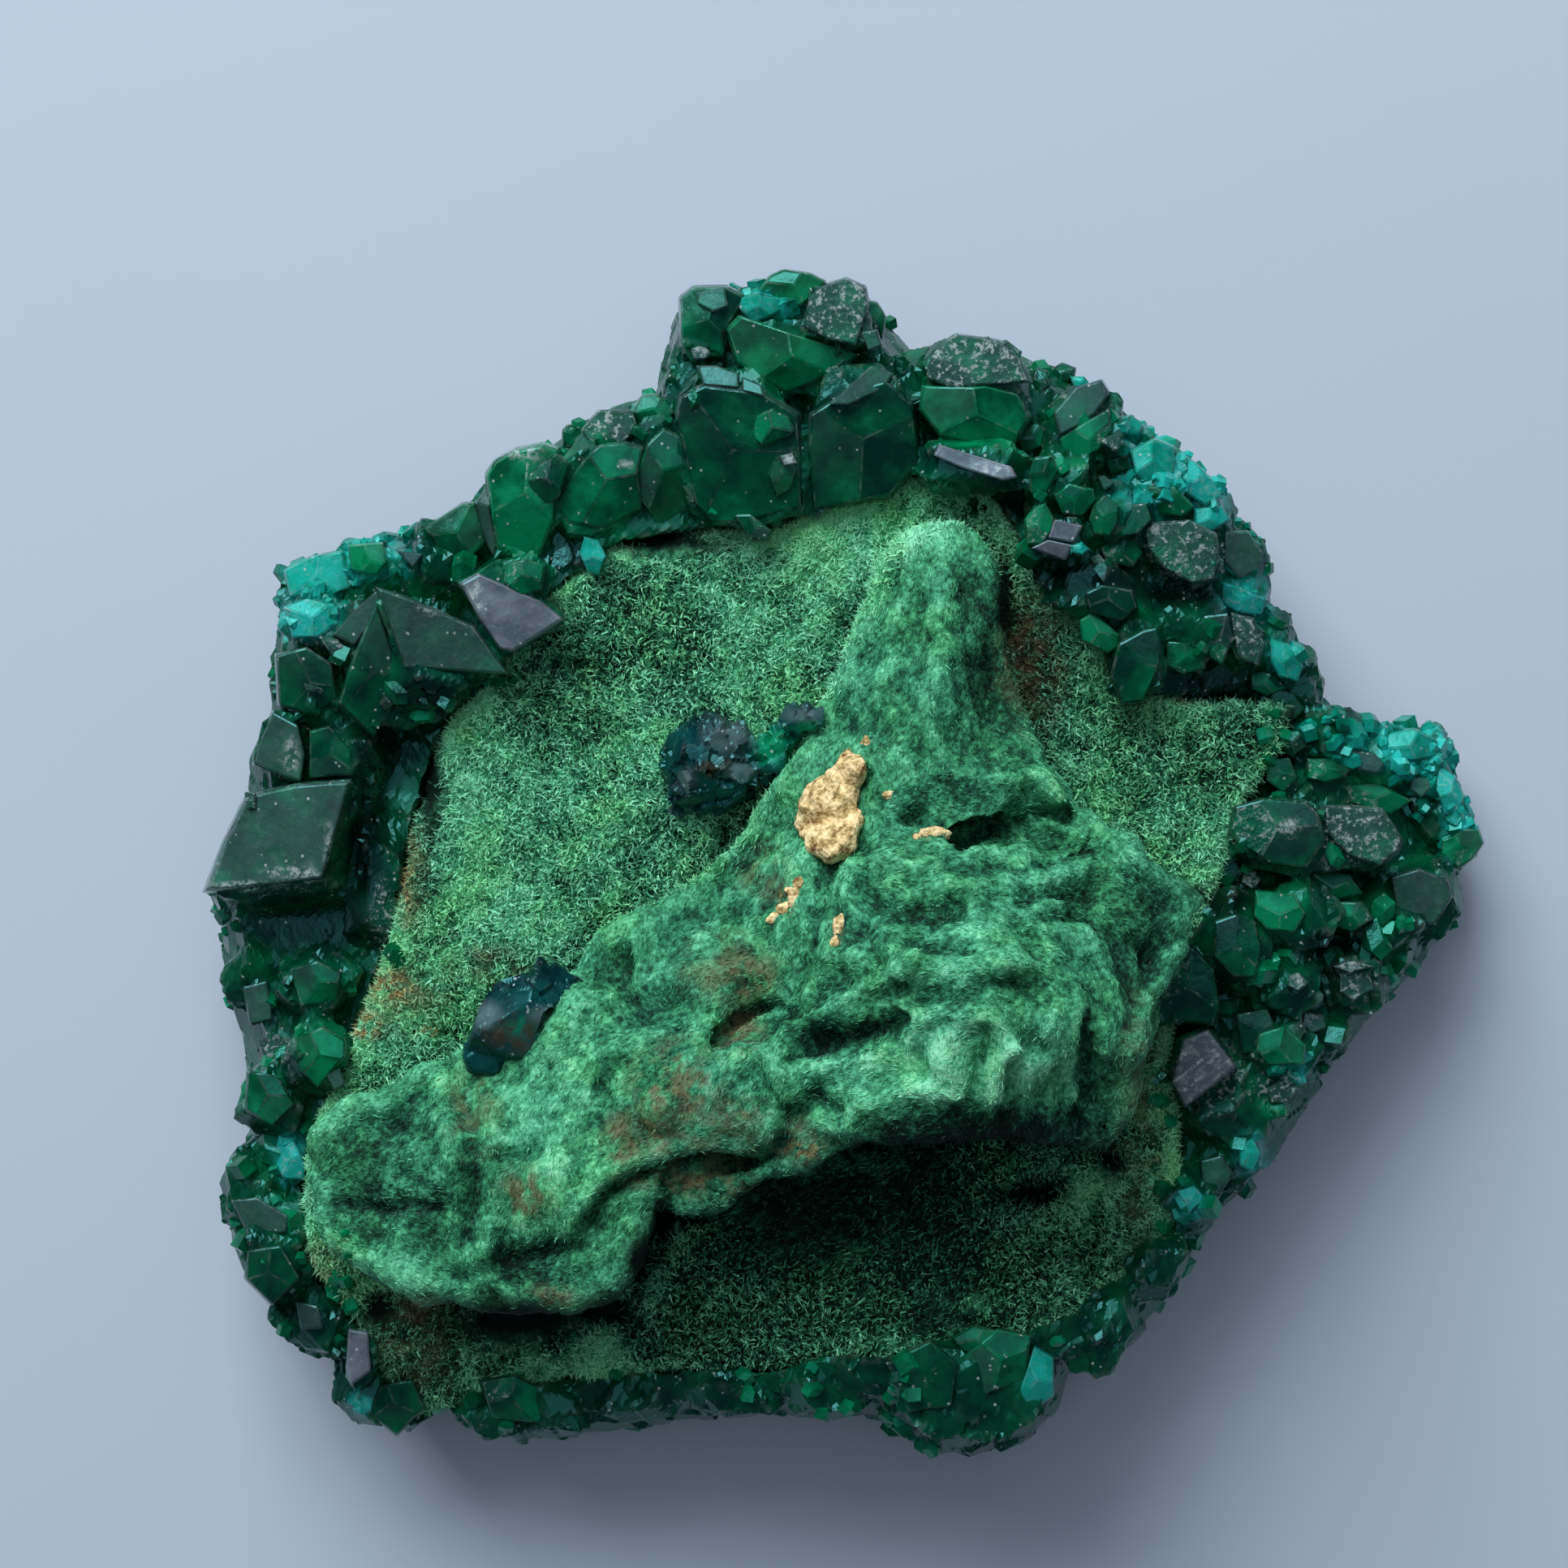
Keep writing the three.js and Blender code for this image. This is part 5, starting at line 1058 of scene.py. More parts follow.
# Crystals known one by one: kind, lift over the crust, climb along x and y, outline as read.
BLOCKS = [
    # top
    ("deep", 0.2, 0.05, 0.3, [(-3.7, 13.9), (-2.9, 14.3), (-0.7, 14.0), (0.6, 13.2), (0.75, 9.8),
      (-1.4, 9.2), (-2.6, 9.2), (-3.2, 9.9), (-3.6, 11.6), (-3.9, 13.2)]),
    ("slate", 0.3, 0.0, -0.3, [(-3.1, 14.9), (-2.4, 14.9), (-1.6, 14.6), (-1.6, 14.1), (-2.9, 14.2)]),
    ("slate", 0.3, 0.1, -0.3, [(-1.5, 14.5), (-0.8, 14.2), (-0.7, 13.8), (-1.5, 14.0)]),
    ("deep", 0.2, -0.05, 0.3, [(0.9, 13.2), (2.2, 14.0), (3.6, 14.4), (4.6, 13.6), (4.9, 11.4), (3.8, 10.2),
      (1.0, 9.7), (0.8, 11.8)]),
    ("slate", 0.3, -0.2, -0.2, [(1.6, 13.5), (3.1, 14.9), (3.9, 14.6), (3.6, 14.1), (2.3, 13.5)]),
    ("emerald", 0.3, 0.0, 0.35, [(-2.1, 16.2), (-1.6, 16.7), (-0.9, 16.4), (0.2, 16.1), (1.4, 15.3),
      (2.7, 15.3), (2.2, 14.9), (1.1, 14.3), (0.1, 13.9), (-0.8, 14.3), (-1.7, 15.0)]),
    ("green", 0.25, 0.15, 0.1, [(-3.7, 17.3), (-3.2, 17.7), (-2.0, 17.7), (-1.4, 17.4), (-1.7, 16.8),
      (-2.2, 16.2), (-2.2, 15.2), (-3.3, 15.0), (-3.7, 15.6)]),
    ("slate", 0.45, 0.1, -0.1, [(-3.1, 17.5), (-2.1, 17.7), (-2.0, 17.0), (-2.5, 16.8), (-3.1, 17.1)]),
    ("turquoise", 0.45, 0.1, 0.2, [(-1.9, 17.2), (-1.0, 17.5), (-0.2, 17.3), (0.0, 16.9), (-0.6, 16.6),
      (-1.1, 16.4), (-1.5, 16.8)]),
    ("emerald", 0.3, 0.1, 0.1, [(-1.0, 17.5), (-0.5, 18.1), (0.0, 18.3), (0.9, 18.2), (1.5, 17.9),
      (1.2, 17.5), (0.6, 17.0), (0.0, 17.0)]),
    ("silver", 0.4, -0.1, -0.1, [(0.9, 17.3), (1.3, 17.7), (2.2, 18.0), (2.9, 17.7), (3.0, 17.0),
      (2.6, 16.2), (2.6, 15.6), (1.6, 15.8), (0.7, 16.3)]),
    ("green", 0.3, -0.4, 0.0, [(2.9, 17.6), (3.4, 17.5), (3.7, 17.0), (3.6, 16.2), (3.3, 16.0),
      (2.8, 16.8)]),
    ("slate", 0.4, -0.1, 0.1, [(2.7, 16.1), (3.3, 16.2), (3.5, 15.6), (3.0, 15.4)]),
    ("slate", 0.45, 0.0, 0.0, [(-3.3, 15.5), (-3.0, 15.6), (-2.7, 15.5), (-2.6, 15.3), (-2.8, 15.1),
      (-3.2, 15.1)]),
    ("green", 0.3, 0.0, 0.3, [(-4.9, 12.1), (-4.3, 12.7), (-3.7, 12.4), (-3.5, 11.4), (-3.2, 9.9),
      (-4.4, 9.1), (-5.2, 10.2), (-5.2, 11.2)]),
    ("emerald", 0.3, -0.05, 0.25, [(-8.2, 10.0), (-7.2, 11.5), (-6.6, 12.1), (-5.6, 12.2), (-5.0, 12.0),
      (-5.3, 10.6), (-5.0, 9.8), (-6.4, 9.0), (-7.8, 9.3)]),
    ("silver", 0.3, 0.0, -0.2, [(-7.2, 12.6), (-6.6, 13.3), (-5.4, 13.3), (-5.2, 12.7), (-5.7, 12.1),
      (-6.8, 12.0)]),
    ("green", 0.3, 0.1, 0.0, [(-5.4, 13.2), (-5.1, 13.8), (-4.6, 13.9), (-4.2, 13.7), (-3.9, 13.2),
      (-4.3, 12.8), (-5.0, 12.7)]),
    ("green", 0.4, 0.0, 0.0, [(-7.9, 12.6), (-7.7, 12.8), (-7.3, 12.7), (-7.2, 12.3), (-7.5, 12.0),
      (-7.9, 12.2)]),
    ("emerald", 0.3, 0.1, 0.25, [(-10.6, 11.0), (-10.3, 11.5), (-9.6, 11.9), (-8.6, 12.1), (-8.0, 11.9),
      (-8.2, 9.3), (-8.7, 8.0), (-10.1, 8.0), (-10.4, 9.4)]),
    ("green", 0.45, 0.1, 0.1, [(-9.2, 10.9), (-8.7, 11.4), (-8.1, 11.8), (-7.6, 11.4), (-8.0, 10.2),
      (-8.5, 9.9), (-9.1, 10.3)]),
    ("turquoise", 0.5, 0.2, 0.1, [(-7.3, 8.2), (-7.1, 8.8), (-6.6, 8.7), (-6.3, 8.1), (-6.6, 7.4),
      (-7.0, 7.6)]),
    ("emerald", 0.4, 0.0, 0.2, [(-9.9, 7.9), (-9.2, 8.0), (-8.5, 7.8), (-8.6, 6.9), (-9.4, 6.7),
      (-10.0, 7.2)]),
    ("deep", 0.4, 0.0, 0.2, [(-1.8, 9.6), (-1.2, 9.6), (-0.4, 9.0), (-0.6, 8.7), (-1.2, 8.7)]),
    ("green", 0.5, 0.1, 0.3, [(-1.3, 12.5), (-1.0, 13.1), (-0.4, 13.4), (0.2, 13.1), (0.4, 12.6),
      (0.1, 12.3), (-0.8, 12.0)]),
    ("green", 0.5, 0.0, 0.3, [(-0.6, 11.0), (-0.4, 11.5), (0.3, 11.8), (0.5, 11.3), (0.2, 10.4),
      (-0.3, 10.2)]),
    ("slate", 0.75, 0.1, 0.0, [(-0.2, 11.7), (0.3, 11.8), (0.5, 11.4), (0.0, 11.3)]),
    # upper left
    ("green", 0.3, 0.1, 0.2, [(-12.8, 9.1), (-11.4, 10.0), (-11.0, 10.0), (-10.6, 8.6), (-11.6, 7.4),
      (-12.2, 8.2)]),
    ("slate", 0.4, -0.4, 0.1, [(-11.0, 10.1), (-10.5, 9.9), (-10.2, 8.6), (-10.3, 8.0), (-10.8, 8.9)]),
    ("lavender", 0.25, -0.08, 0.14, [(-11.55, 7.15), (-10.9, 7.5), (-10.5, 6.9), (-9.6, 6.4), (-8.6, 6.5),
      (-7.85, 5.85), (-9.6, 4.7), (-10.1, 4.75), (-10.8, 5.8)]),
    ("turquoise", 0.35, 0.2, 0.1, [(-17.8, 7.6), (-16.8, 8.1), (-15.7, 8.3), (-15.4, 7.0), (-16.4, 6.5),
      (-17.6, 6.7)]),
    ("emerald", 0.5, 0.1, 0.1, [(-15.5, 8.5), (-14.3, 8.6), (-14.1, 7.9), (-14.5, 7.4), (-15.4, 7.6)]),
    ("cyan", 0.4, 0.1, 0.0, [(-17.8, 6.3), (-17.0, 6.6), (-16.0, 6.4), (-15.8, 5.7), (-16.6, 5.2),
      (-17.5, 5.2)]),
    ("slate", 0.35, 0.1, 0.1, [(-16.1, 5.3), (-15.2, 6.3), (-14.5, 6.9), (-14.2, 6.4), (-15.3, 4.9)]),
    ("silver", 0.3, 0.0, 0.3, [(-16.6, 5.3), (-15.9, 5.2), (-15.4, 4.6), (-16.0, 4.4)]),
    ("slate", 0.3, 0.02, 0.2, [(-14.5, 7.0), (-13.3, 6.6), (-12.6, 6.2), (-11.0, 5.6), (-9.8, 3.9),
      (-11.0, 4.1), (-12.0, 4.5), (-13.5, 4.1), (-13.9, 5.2)]),
    ("deep", 0.3, -0.3, 0.2, [(-14.5, 6.5), (-14.0, 5.0), (-13.7, 3.4), (-14.6, 1.6), (-15.9, 2.8),
      (-15.3, 4.6)]),
    ("slate", 0.4, 0.0, 0.0, [(-13.8, 8.3), (-12.8, 8.2), (-13.2, 7.7)]),
    ("deep", 0.25, 0.1, 0.2, [(-18.1, 4.6), (-17.0, 4.9), (-16.1, 4.3), (-15.9, 3.0), (-16.8, 2.4),
      (-18.0, 2.8)]),
    ("silver", 0.5, 0.0, 0.3, [(-17.1, 3.6), (-16.4, 3.4), (-16.4, 3.2), (-17.0, 3.3)]),
    # left
    ("slate", 0.25, 0.25, 0.05, [(-18.2, 2.6), (-17.3, 2.1), (-17.05, 1.0), (-17.2, 0.05), (-18.9, 0.7),
      (-18.6, 1.7)]),
    ("deep", 0.15, 0.2, 0.1, [(-16.9, 1.9), (-16.2, 2.1), (-15.4, 1.2), (-15.4, 0.3), (-16.9, 0.2)]),
    ("slate", 0.2, 0.22, -0.04, [(-19.1, -0.4), (-17.4, 0.0), (-15.4, 0.15), (-15.7, -0.8), (-16.1, -2.2),
      (-16.4, -3.4), (-18.2, -3.3), (-20.0, -3.8), (-20.6, -3.8), (-19.9, -2.0)]),
    ("silver", 0.4, 0.0, 0.0, [(-19.6, -0.3), (-19.2, -0.3), (-19.2, -0.9), (-19.5, -0.9)]),
    ("green", 0.3, 0.1, 0.2, [(-17.6, -6.6), (-16.6, -6.3), (-15.8, -6.7), (-15.9, -7.8), (-17.2, -7.9)]),
    ("slate", 0.3, 0.1, 0.1, [(-19.3, -7.2), (-18.4, -7.0), (-18.2, -8.4), (-19.0, -8.6)]),
    ("silver", 0.35, 0.0, 0.2, [(-18.5, -9.4), (-18.1, -8.9), (-17.6, -9.2), (-17.8, -9.7), (-18.4, -9.8)]),
    ("emerald", 0.3, 0.1, 0.1, [(-17.4, -9.0), (-16.4, -8.6), (-15.6, -9.1), (-15.6, -9.7), (-16.1, -10.2),
      (-16.6, -10.8), (-17.3, -10.2)]),
    ("slate", 0.4, 0.0, 0.1, [(-16.0, -10.1), (-15.5, -9.9), (-15.3, -10.5), (-15.7, -10.7)]),
    ("green", 0.3, 0.2, 0.1, [(-19.1, -10.2), (-18.0, -10.4), (-17.4, -11.4), (-18.2, -12.2),
      (-19.2, -11.6)]),
    ("cyan", 0.35, 0.2, 0.0, [(-18.0, -12.3), (-17.6, -12.4), (-17.3, -13.0), (-17.0, -13.6),
      (-17.1, -14.1), (-17.8, -14.1), (-18.2, -13.4)]),
    ("slate", 0.3, 0.2, 0.1, [(-19.7, -14.8), (-18.8, -14.7), (-17.6, -15.4), (-17.7, -16.0),
      (-19.1, -16.0)]),
    ("deep", 0.3, 0.2, 0.2, [(-19.1, -16.6), (-17.9, -16.4), (-17.2, -17.6), (-18.2, -18.6),
      (-19.2, -17.6)]),
    ("slate", 0.3, 0.2, 0.2, [(-17.4, -18.4), (-16.6, -18.6), (-16.4, -19.4), (-17.2, -19.4)]),
    ("lavender", 0.25, 0.05, 0.1, [(-15.5, -19.4), (-14.8, -19.5), (-14.7, -20.9), (-15.4, -21.4),
      (-15.6, -20.8)]),
    # upper right
    ("emerald", 0.3, 0.0, 0.3, [(4.9, 14.2), (6.0, 14.0), (7.2, 14.2), (8.4, 13.9), (8.8, 13.1),
      (8.2, 12.0), (7.0, 12.0), (5.5, 12.4), (4.8, 13.3)]),
    ("silver", 0.3, 0.0, -0.2, [(5.0, 14.9), (5.4, 15.5), (6.1, 16.0), (7.6, 15.8), (8.3, 15.2),
      (8.7, 14.3), (7.2, 14.2), (6.0, 14.1), (5.1, 14.4)]),
    ("lavender", 0.3, 0.0, -0.15, [(5.5, 12.1), (6.2, 11.9), (8.1, 11.3), (8.3, 10.9), (7.8, 10.8),
      (6.2, 11.3), (5.3, 11.7)]),
    ("emerald", 0.5, 0.0, 0.1, [(8.3, 12.2), (8.5, 12.7), (9.0, 12.9), (9.5, 12.5), (9.2, 12.0),
      (8.6, 11.8)]),
    ("slate", 0.35, -0.1, -0.1, [(9.6, 13.2), (10.4, 14.1), (11.3, 14.4), (11.6, 13.9), (11.1, 13.2),
      (10.4, 12.7), (9.8, 12.4)]),
    ("green", 0.35, 0.0, 0.0, [(9.4, 14.7), (9.9, 15.0), (10.4, 14.8), (10.3, 14.4), (9.6, 14.2)]),
    ("green", 0.35, 0.0, 0.0, [(8.8, 14.3), (9.0, 14.8), (9.4, 14.7), (9.5, 14.2), (9.1, 13.9)]),
    ("turquoise", 0.35, 0.0, 0.0, [(10.4, 14.8), (10.9, 14.8), (11.2, 14.4), (10.6, 14.2)]),
    ("emerald", 0.25, 0.0, 0.2, [(9.8, 12.3), (10.9, 13.0), (11.6, 13.4), (11.7, 12.6), (11.2, 11.9),
      (10.4, 11.4), (9.9, 11.5)]),
    ("silver", 0.45, 0.0, 0.0, [(11.25, 12.2), (11.7, 12.5), (12.1, 12.2), (11.8, 11.8)]),
    ("turquoise", 0.3, 0.0, 0.0, [(11.7, 12.9), (12.3, 13.15), (12.8, 12.8), (12.6, 12.4), (11.9, 12.5)]),
    ("green", 0.35, 0.0, 0.2, [(11.4, 11.6), (12.2, 11.7), (12.3, 11.2), (11.6, 11.0)]),
    ("slate", 0.45, 0.0, 0.1, [(11.15, 10.95), (11.4, 11.0), (11.8, 10.7), (11.4, 10.45)]),
    ("emerald", 0.35, 0.0, 0.3, [(8.7, 11.0), (8.9, 11.6), (9.5, 11.7), (9.8, 11.2), (9.4, 10.4),
      (8.8, 10.3)]),
    ("emerald", 0.35, 0.0, 0.3, [(9.6, 10.3), (10.1, 10.7), (11.0, 10.5), (11.1, 10.1), (10.6, 9.5),
      (9.9, 9.6)]),
    ("emerald", 0.5, 0.0, 0.2, [(8.55, 9.4), (8.9, 9.9), (9.3, 10.0), (9.6, 9.5), (9.6, 9.1), (9.2, 8.5),
      (8.65, 8.5)]),
    ("lavender", 0.5, 0.1, 0.1, [(9.65, 9.4), (10.65, 9.2), (10.3, 8.6), (9.4, 8.75)]),
    ("lavender", 0.4, 0.1, 0.5, [(9.4, 8.7), (10.3, 8.5), (10.0, 7.95), (8.8, 8.4)]),
    ("turquoise", 0.5, 0.0, 0.0, [(10.2, 8.5), (10.6, 8.6), (10.9, 8.35), (10.6, 8.15), (10.2, 8.25)]),
    ("silver", 0.4, 0.0, 0.1, [(10.9, 8.1), (11.2, 8.2), (11.5, 7.85), (11.0, 7.8)]),
    ("green", 0.35, 0.0, 0.1, [(11.0, 9.9), (11.4, 10.3), (11.9, 9.95), (11.9, 9.3), (11.6, 8.8),
      (11.0, 8.9), (10.85, 9.4)]),
    ("green", 0.35, 0.0, 0.1, [(11.2, 8.4), (11.7, 8.8), (12.6, 8.7), (12.8, 8.2), (12.4, 7.7),
      (11.5, 7.9)]),
    ("deep", 0.3, 0.0, 0.0, [(12.0, 9.9), (12.9, 10.0), (13.1, 9.4), (12.6, 8.9), (12.0, 8.8)]),
    ("silver", 0.3, -0.05, 0.15, [(12.8, 9.1), (13.2, 9.3), (14.4, 9.4), (15.4, 8.9), (15.5, 7.9),
      (15.3, 7.3), (14.6, 7.1), (13.6, 7.6), (13.0, 8.3)]),
    ("cyan", 0.3, -0.2, 0.0, [(13.9, 11.6), (14.6, 11.5), (15.2, 10.9), (15.6, 10.2), (15.0, 9.9),
      (14.2, 10.4)]),
    ("turquoise", 0.25, -0.1, 0.1, [(12.3, 11.9), (13.2, 12.3), (13.9, 12.0), (13.9, 11.0), (13.0, 10.6),
      (12.5, 11.0)]),
    ("emerald", 0.25, 0.0, 0.3, [(12.9, 10.6), (13.9, 10.6), (14.6, 9.9), (14.2, 9.5), (13.4, 9.6)]),
    ("turquoise", 0.3, -0.2, 0.1, [(14.6, 9.8), (15.6, 9.9), (15.9, 9.4), (15.2, 9.0), (14.6, 9.2)]),
    ("slate", 0.25, -0.2, 0.1, [(15.7, 9.0), (16.5, 9.0), (17.0, 8.3), (16.9, 7.6), (16.2, 7.3),
      (15.7, 7.9)]),
    ("cyan", 0.3, -0.1, 0.2, [(15.6, 7.2), (16.3, 7.0), (17.2, 6.6), (17.0, 6.0), (16.2, 6.1),
      (15.6, 6.4)]),
    ("silver", 0.3, -0.1, 0.1, [(15.9, 6.1), (16.7, 5.9), (17.1, 5.0), (16.9, 4.2), (16.2, 4.5),
      (16.0, 5.3)]),
    ("deep", 0.3, 0.0, 0.3, [(10.7, 6.8), (11.3, 7.1), (12.4, 6.9), (12.6, 6.3), (12.0, 5.8), (10.9, 6.1)]),
    ("emerald", 0.3, 0.0, 0.2, [(10.1, 5.6), (10.6, 5.9), (11.5, 5.1), (11.5, 4.7), (11.1, 4.45),
      (10.2, 4.9)]),
    ("deep", 0.3, 0.0, 0.2, [(11.9, 5.0), (12.8, 5.5), (13.3, 5.6), (13.5, 4.9), (13.3, 4.0), (12.8, 2.9),
      (12.0, 2.8), (11.6, 3.8)]),
    ("emerald", 0.35, 0.0, 0.2, [(13.6, 5.1), (14.6, 5.1), (15.0, 4.6), (15.0, 4.1), (14.2, 3.9),
      (13.6, 4.2)]),
    ("deep", 0.3, 0.0, 0.2, [(14.9, 6.0), (15.8, 6.1), (15.9, 5.0), (15.6, 4.2), (15.1, 4.5)]),
    ("turquoise", 0.3, -0.1, 0.1, [(17.3, 5.2), (18.0, 5.0), (18.5, 4.2), (18.3, 3.6), (17.6, 3.8),
      (17.3, 4.4)]),
    ("emerald", 0.3, 0.0, 0.1, [(16.6, 4.0), (17.4, 3.9), (18.0, 3.4), (17.2, 3.1), (16.6, 3.4)]),
    ("deep", 0.5, 0.0, 0.1, [(17.0, 3.4), (17.8, 3.2), (18.2, 2.6), (17.6, 2.1), (16.9, 2.6)]),
    ("green", 0.5, 0.0, 0.1, [(17.4, 1.9), (18.0, 1.9), (18.3, 1.3), (17.7, 0.9), (17.2, 1.3)]),
    ("deep", 0.5, 0.0, 0.1, [(16.6, 0.8), (17.3, 0.9), (17.6, 0.2), (17.1, -0.3), (16.5, 0.1)]),
    ("deep", 0.4, 0.0, 0.1, [(15.0, -2.6), (15.7, -2.5), (16.0, -3.1), (15.5, -3.7), (14.9, -3.3)]),
    # right
    ("emerald", 0.4, 0.0, 0.1, [(18.6, 0.9), (19.4, 0.9), (20.2, 0.6), (20.0, 0.2), (19.2, 0.05),
      (18.6, 0.2)]),
    ("slate", 0.35, 0.0, 0.0, [(20.2, 1.2), (21.0, 1.1), (21.4, 0.7), (21.2, 0.4), (20.4, 0.5)]),
    ("turquoise", 0.3, -0.1, 0.0, [(21.3, 1.8), (22.4, 2.0), (23.2, 1.6), (23.3, 1.0), (22.4, 0.8),
      (21.4, 1.0)]),
    ("cyan", 0.3, -0.2, 0.0, [(23.3, 0.7), (23.9, 0.3), (24.2, -0.4), (24.1, -1.2), (23.5, -1.1),
      (23.2, -0.2)]),
    ("slate", 0.35, 0.0, 0.0, [(22.3, 0.3), (22.9, 0.2), (23.1, -0.1), (22.7, -0.5), (22.3, -0.2)]),
    ("emerald", 0.35, -0.2, 0.1, [(23.4, -2.0), (24.2, -1.6), (24.7, -1.6), (24.9, -2.1), (24.5, -2.7),
      (24.0, -3.0), (23.4, -2.7)]),
    ("emerald", 0.25, 0.0, 0.2, [(19.8, 0.0), (21.2, 0.0), (22.4, -0.6), (21.6, -1.1), (20.2, -0.7)]),
    ("silver", 0.35, 0.0, 0.05, [(19.0, -0.8), (20.4, -0.8), (21.3, -0.9), (22.0, -2.0), (21.9, -2.4),
      (21.2, -2.9), (20.2, -2.6), (19.4, -1.9)]),
    ("deep", 0.3, 0.1, 0.1, [(16.0, -0.8), (17.0, -0.5), (18.6, -0.6), (19.0, -1.0), (19.3, -2.0),
      (18.6, -3.0), (17.4, -2.9), (16.2, -2.2), (15.8, -1.6)]),
    ("silver", 0.5, 0.0, 0.0, [(16.4, -3.0), (16.8, -3.1), (17.0, -3.4), (16.7, -3.75), (16.3, -3.5)]),
    ("emerald", 0.35, 0.0, 0.1, [(16.8, -3.8), (18.2, -3.9), (18.6, -4.6), (18.2, -5.3), (17.2, -5.2),
      (16.7, -4.7)]),
    ("green", 0.3, 0.0, 0.2, [(18.8, -3.1), (20.2, -3.2), (20.6, -3.9), (19.4, -4.2), (18.6, -3.8)]),
    ("green", 0.3, 0.0, 0.2, [(19.6, -4.2), (20.6, -4.2), (21.0, -4.8), (20.2, -5.3), (19.4, -5.0)]),
    ("slate", 0.25, -0.1, 0.1, [(21.6, -3.3), (22.6, -3.0), (23.6, -3.4), (23.8, -4.0), (23.2, -5.0),
      (22.4, -5.0), (21.8, -4.4)]),
    ("deep", 0.3, 0.0, 0.1, [(15.3, -4.9), (16.1, -4.6), (16.8, -4.9), (17.0, -5.9), (16.8, -6.9),
      (16.0, -6.9), (15.3, -6.2)]),
    ("deep", 0.15, 0.1, 0.1, [(13.7, -5.8), (14.6, -5.8), (15.3, -6.6), (15.5, -8.0), (15.3, -8.6),
      (13.4, -8.4), (13.2, -7.9)]),
    ("striped", 0.3, 0.05, 0.16, [(13.8, -10.6), (14.2, -9.1), (15.1, -8.75), (16.1, -10.1),
      (14.3, -11.5)]),
    ("deep", 0.3, 0.0, 0.1, [(16.1, -8.2), (17.2, -8.0), (17.6, -8.8), (17.2, -9.6), (16.3, -9.6)]),
    ("emerald", 0.45, 0.0, 0.1, [(16.9, -8.9), (17.8, -8.6), (18.6, -9.3), (18.5, -10.0), (17.2, -10.0),
      (16.8, -9.5)]),
    ("slate", 0.4, 0.0, 0.0, [(18.5, -8.1), (19.2, -8.2), (19.3, -8.7), (18.8, -8.9), (18.4, -8.6)]),
    ("silver", 0.35, -0.1, 0.1, [(19.8, -6.6), (20.8, -6.7), (21.0, -7.3), (20.3, -7.7), (19.8, -7.4)]),
    ("silver", 0.4, 0.0, -0.3, [(19.5, -6.5), (20.2, -6.3), (21.0, -6.5), (20.2, -6.7)]),
    ("slate", 0.45, 0.0, 0.0, [(18.0, -6.8), (18.3, -6.7), (18.7, -7.1), (18.3, -7.4), (17.9, -7.2)]),
    ("slate", 0.45, 0.0, 0.0, [(16.4, -7.0), (17.2, -6.9), (17.0, -7.3)]),
    ("silver", 0.35, 0.0, 0.0, [(17.2, -10.8), (17.9, -10.4), (18.4, -10.8), (17.9, -11.3), (17.3, -11.4)]),
    ("emerald", 0.4, 0.0, 0.0, [(17.2, -11.4), (17.8, -11.3), (17.9, -11.8), (17.3, -12.0)]),
    ("turquoise", 0.3, 0.0, 0.0, [(16.2, -12.8), (16.7, -12.6), (17.0, -13.2), (16.7, -13.8),
      (16.2, -13.6)]),
    ("slate", 0.3, 0.0, 0.1, [(14.8, -13.4), (15.6, -13.2), (16.0, -13.9), (15.5, -14.6), (14.9, -14.3)]),
    ("cyan", 0.3, 0.0, 0.0, [(14.0, -14.5), (14.6, -14.3), (15.0, -14.8), (14.4, -15.3)]),
    # lower edge
    ("deep", 0.2, 0.1, 0.2, [(3.6, -20.6), (5.2, -19.8), (6.2, -20.6), (6.0, -22.2), (4.4, -22.4)]),
    ("green", 0.2, 0.0, 0.2, [(6.3, -20.4), (7.6, -19.4), (8.8, -19.6), (8.6, -21.2), (6.9, -21.9)]),
    ("turquoise", 0.2, -0.1, 0.2, [(8.9, -20.0), (9.6, -20.4), (9.6, -21.8), (8.7, -22.4), (8.4, -21.6)]),
    ("emerald", 0.3, 0.0, 0.1, [(5.6, -18.6), (6.4, -18.2), (7.4, -18.4), (7.2, -19.0), (6.0, -19.1)]),
    ("green", 0.25, 0.1, 0.2, [(-10.9, -21.2), (-9.6, -21.0), (-8.4, -21.6), (-8.6, -22.8),
      (-10.4, -22.6)]),
    ("deep", 0.25, 0.1, 0.2, [(-14.4, -21.4), (-13.2, -21.2), (-12.8, -22.2), (-13.8, -23.2),
      (-14.8, -22.4)]),
]
# What each kind looks like: how bright (its painted glow), turquoise, glittering (painted glints) and slate
# grey (painted reflection), and how steep its end faces.
KINDS = {
    "deep": (0.0, 0.0, 0.0, 0.0, 0.07), "green": (0.45, 0.0, 0.0, 0.0, 0.4),
    "emerald": (0.9, 0.0, 0.0, 0.0, 0.3), "turquoise": (0.6, 0.4, 0.1, 0.0, 0.4),
    "cyan": (0.9, 1.8, 0.3, 0.0, 0.35), "silver": (0.2, 0.0, 1.0, 0.3, 0.08),
    "slate": (0.1, 0.0, 0.05, 0.45, 0.0), "lavender": (0.0, 0.0, 0.1, 0.0, 0.0),
    "striped": (-0.6, 0.0, 0.3, 0.0, 0.0),
}

matrix = malachite()
needle_look = needle_material()
needles("malachite_needles_a", matrix, needle_look, seed=41, length=0.27, width=0.11, lean=0.5)
needles("malachite_needles_b", matrix, needle_look, seed=42, length=0.2, width=0.1, lean=0.9)

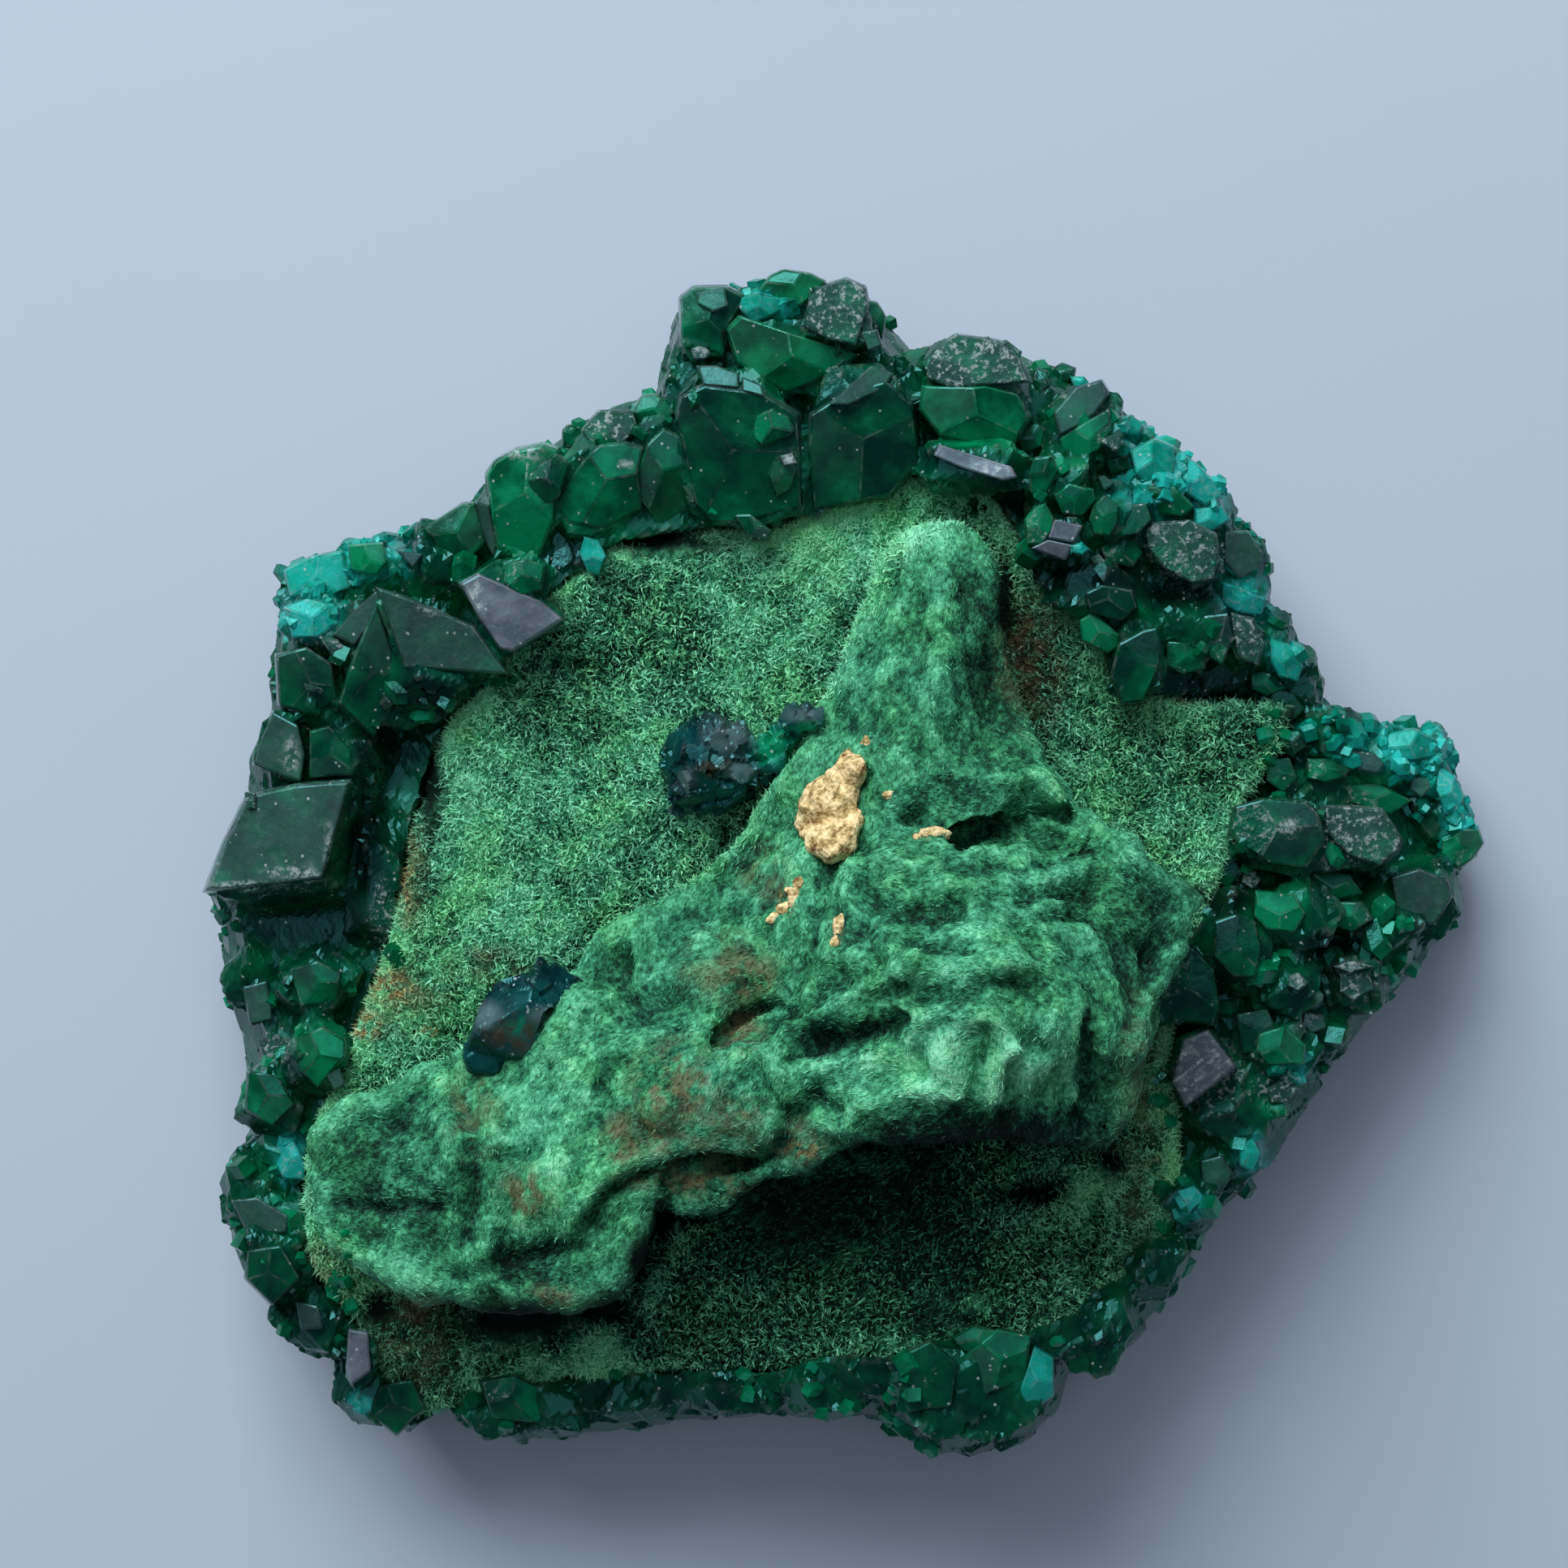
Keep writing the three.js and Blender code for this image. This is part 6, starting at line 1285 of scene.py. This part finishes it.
crystal_look = dioptase_material(
    "dioptase_look", CRYSTAL_DEEP, CRYSTAL_BRIGHT, CRYSTAL_GLOW,
    clear=0.58, density=1500.0, worn=0.34)
small_look = dioptase_material(
    "dioptase_small_look", CRYSTAL_BRIGHT, CRYSTAL_GLOW, (0.02, 0.5, 0.3),
    clear=0.6, density=900.0, worn=0.25)
pale_look = dioptase_material(
    "dioptase_pale_look", (0.001, 0.2, 0.12), (0.003, 0.44, 0.3), (0.01, 0.75, 0.6),
    clear=0.55, density=200.0, worn=0.25)
# Its grey and lavender colours are painted reflection of the light on faces that mirror it.
mirror_look = dioptase_material(
    "dioptase_mirror_look", (0.16, 0.19, 0.24), (0.34, 0.38, 0.47), (0.5, 0.55, 0.65),
    clear=0.5, density=200.0, worn=0.25)
dark_look = dioptase_material(
    "dioptase_dark_look", (0.001, 0.03, 0.035), (0.004, 0.1, 0.1), (0.002, 0.4, 0.18),
    clear=0.55, density=1500.0, worn=0.4)

crust = crystal_mass("dioptase_crystals", "dioptase_crust", crystal_look, BIG_FACES,
                     voxel=CRUST_VOXEL, cells=1.1, tilt=0.17, seed=7)
druse("dioptase_druse", crust, small_look, count=200, seed=51, small=0.4, large=1.0, sink=0.5,
      keep_clear=BIG_FACES)
druse("turquoise_druse", crust, pale_look, count=340, seed=52, small=0.3, large=0.8, sink=0.6,
      only=TURQUOISE_AREAS)
druse("rim_druse", matrix, small_look, count=130, seed=55, small=0.25, large=0.7, sink=0.5,
      only=RIM_AREAS)
blocks("dioptase_blocks", crust, crystal_look, ("deep", "green", "emerald", "silver", "slate"), seed=53)
blocks("mirror_blocks", crust, mirror_look, ("lavender", "striped"), seed=56)
blocks("turquoise_blocks", crust, pale_look, ("turquoise", "cyan"), seed=54)
crystal_mass("ball_cluster", "dioptase_ball_cluster", dark_look, [],
             voxel=FINE_VOXEL, cells=0.65, tilt=0.42, seed=9)
crystal_mass("ledge_crystals", "ledge_crystal", dark_look, LEDGE_FACES,
             voxel=FINE_VOXEL, cells=0.8, tilt=0.25, seed=10)

limonite_look = limonite_material()
patch = remeshed("limonite", "limonite_patch", FINE_VOXEL, smoothing=3)
patch_points = points_of(patch.data)
patch_rise = 0.2 * fractal(patch_points / MM, 0.6, octaves=3, seed=31) + 0.12
move_along(patch.data, patch_points, normals_of(patch.data), patch_rise)
dress(patch, "limonite_patch", limonite_look, smooth=True)
crumbs("limonite_crumbs", matrix, limonite_look, CRUMBS, seed=61)

# Floor, lights and camera.
FLOOR = 0.6  # half its width, in metres
VIEW_WIDTH = 54.2  # millimetres seen across the plane of sharpest focus
SENSOR = 36.0
LIT_PLACE = Vector((0, 0, 0.008))

floor = mesh_object(
    "floor", [(-FLOOR, -FLOOR, 0), (FLOOR, -FLOOR, 0), (FLOOR, FLOOR, 0), (-FLOOR, FLOOR, 0)],
    [(0, 1, 2), (0, 2, 3)])
floor.data.materials.append(floor_material())

world = bpy.data.worlds.new("studio")
bpy.context.scene.world = world
world.use_nodes = True
background = world.node_tree.nodes["Background"]
background.inputs["Color"].default_value = (0.72, 0.8, 0.95, 1)
background.inputs["Strength"].default_value = 0.15


def soft_light(name, x, y, z, size, power, colour):
    """A square light at x, y, z by the photo's own directions, in metres from the middle."""
    light = bpy.data.lights.new(name, "AREA")
    light.shape = "SQUARE"
    light.size = size
    light.energy = power
    light.color = colour
    lamp = placed(bpy.data.objects.new(name, light))
    lamp.location = Matrix.Rotation(-LONG_AXIS, 3, "Z") @ Vector((x, y, z))
    lamp.rotation_euler = (LIT_PLACE - lamp.location).to_track_quat("-Z", "Y").to_euler()


soft_light("key", -0.12, 0.3, 0.24, size=0.3, power=2.3, colour=(0.95, 0.98, 1.0))
soft_light("overhead", 0.0, 0.12, 0.45, size=0.4, power=0.4, colour=(0.86, 0.9, 1.0))

camera = bpy.data.cameras.new("camera")
camera.sensor_width = SENSOR
camera.lens = SENSOR * (EYE_HEIGHT - SHARP_HEIGHT) / VIEW_WIDTH
camera.clip_start = 0.005
viewer = placed(bpy.data.objects.new("camera", camera))
viewer.location = EYE
viewer.rotation_euler = (0, 0, -LONG_AXIS)
bpy.context.scene.camera = viewer
bpy.context.scene.view_settings.view_transform = "Standard"
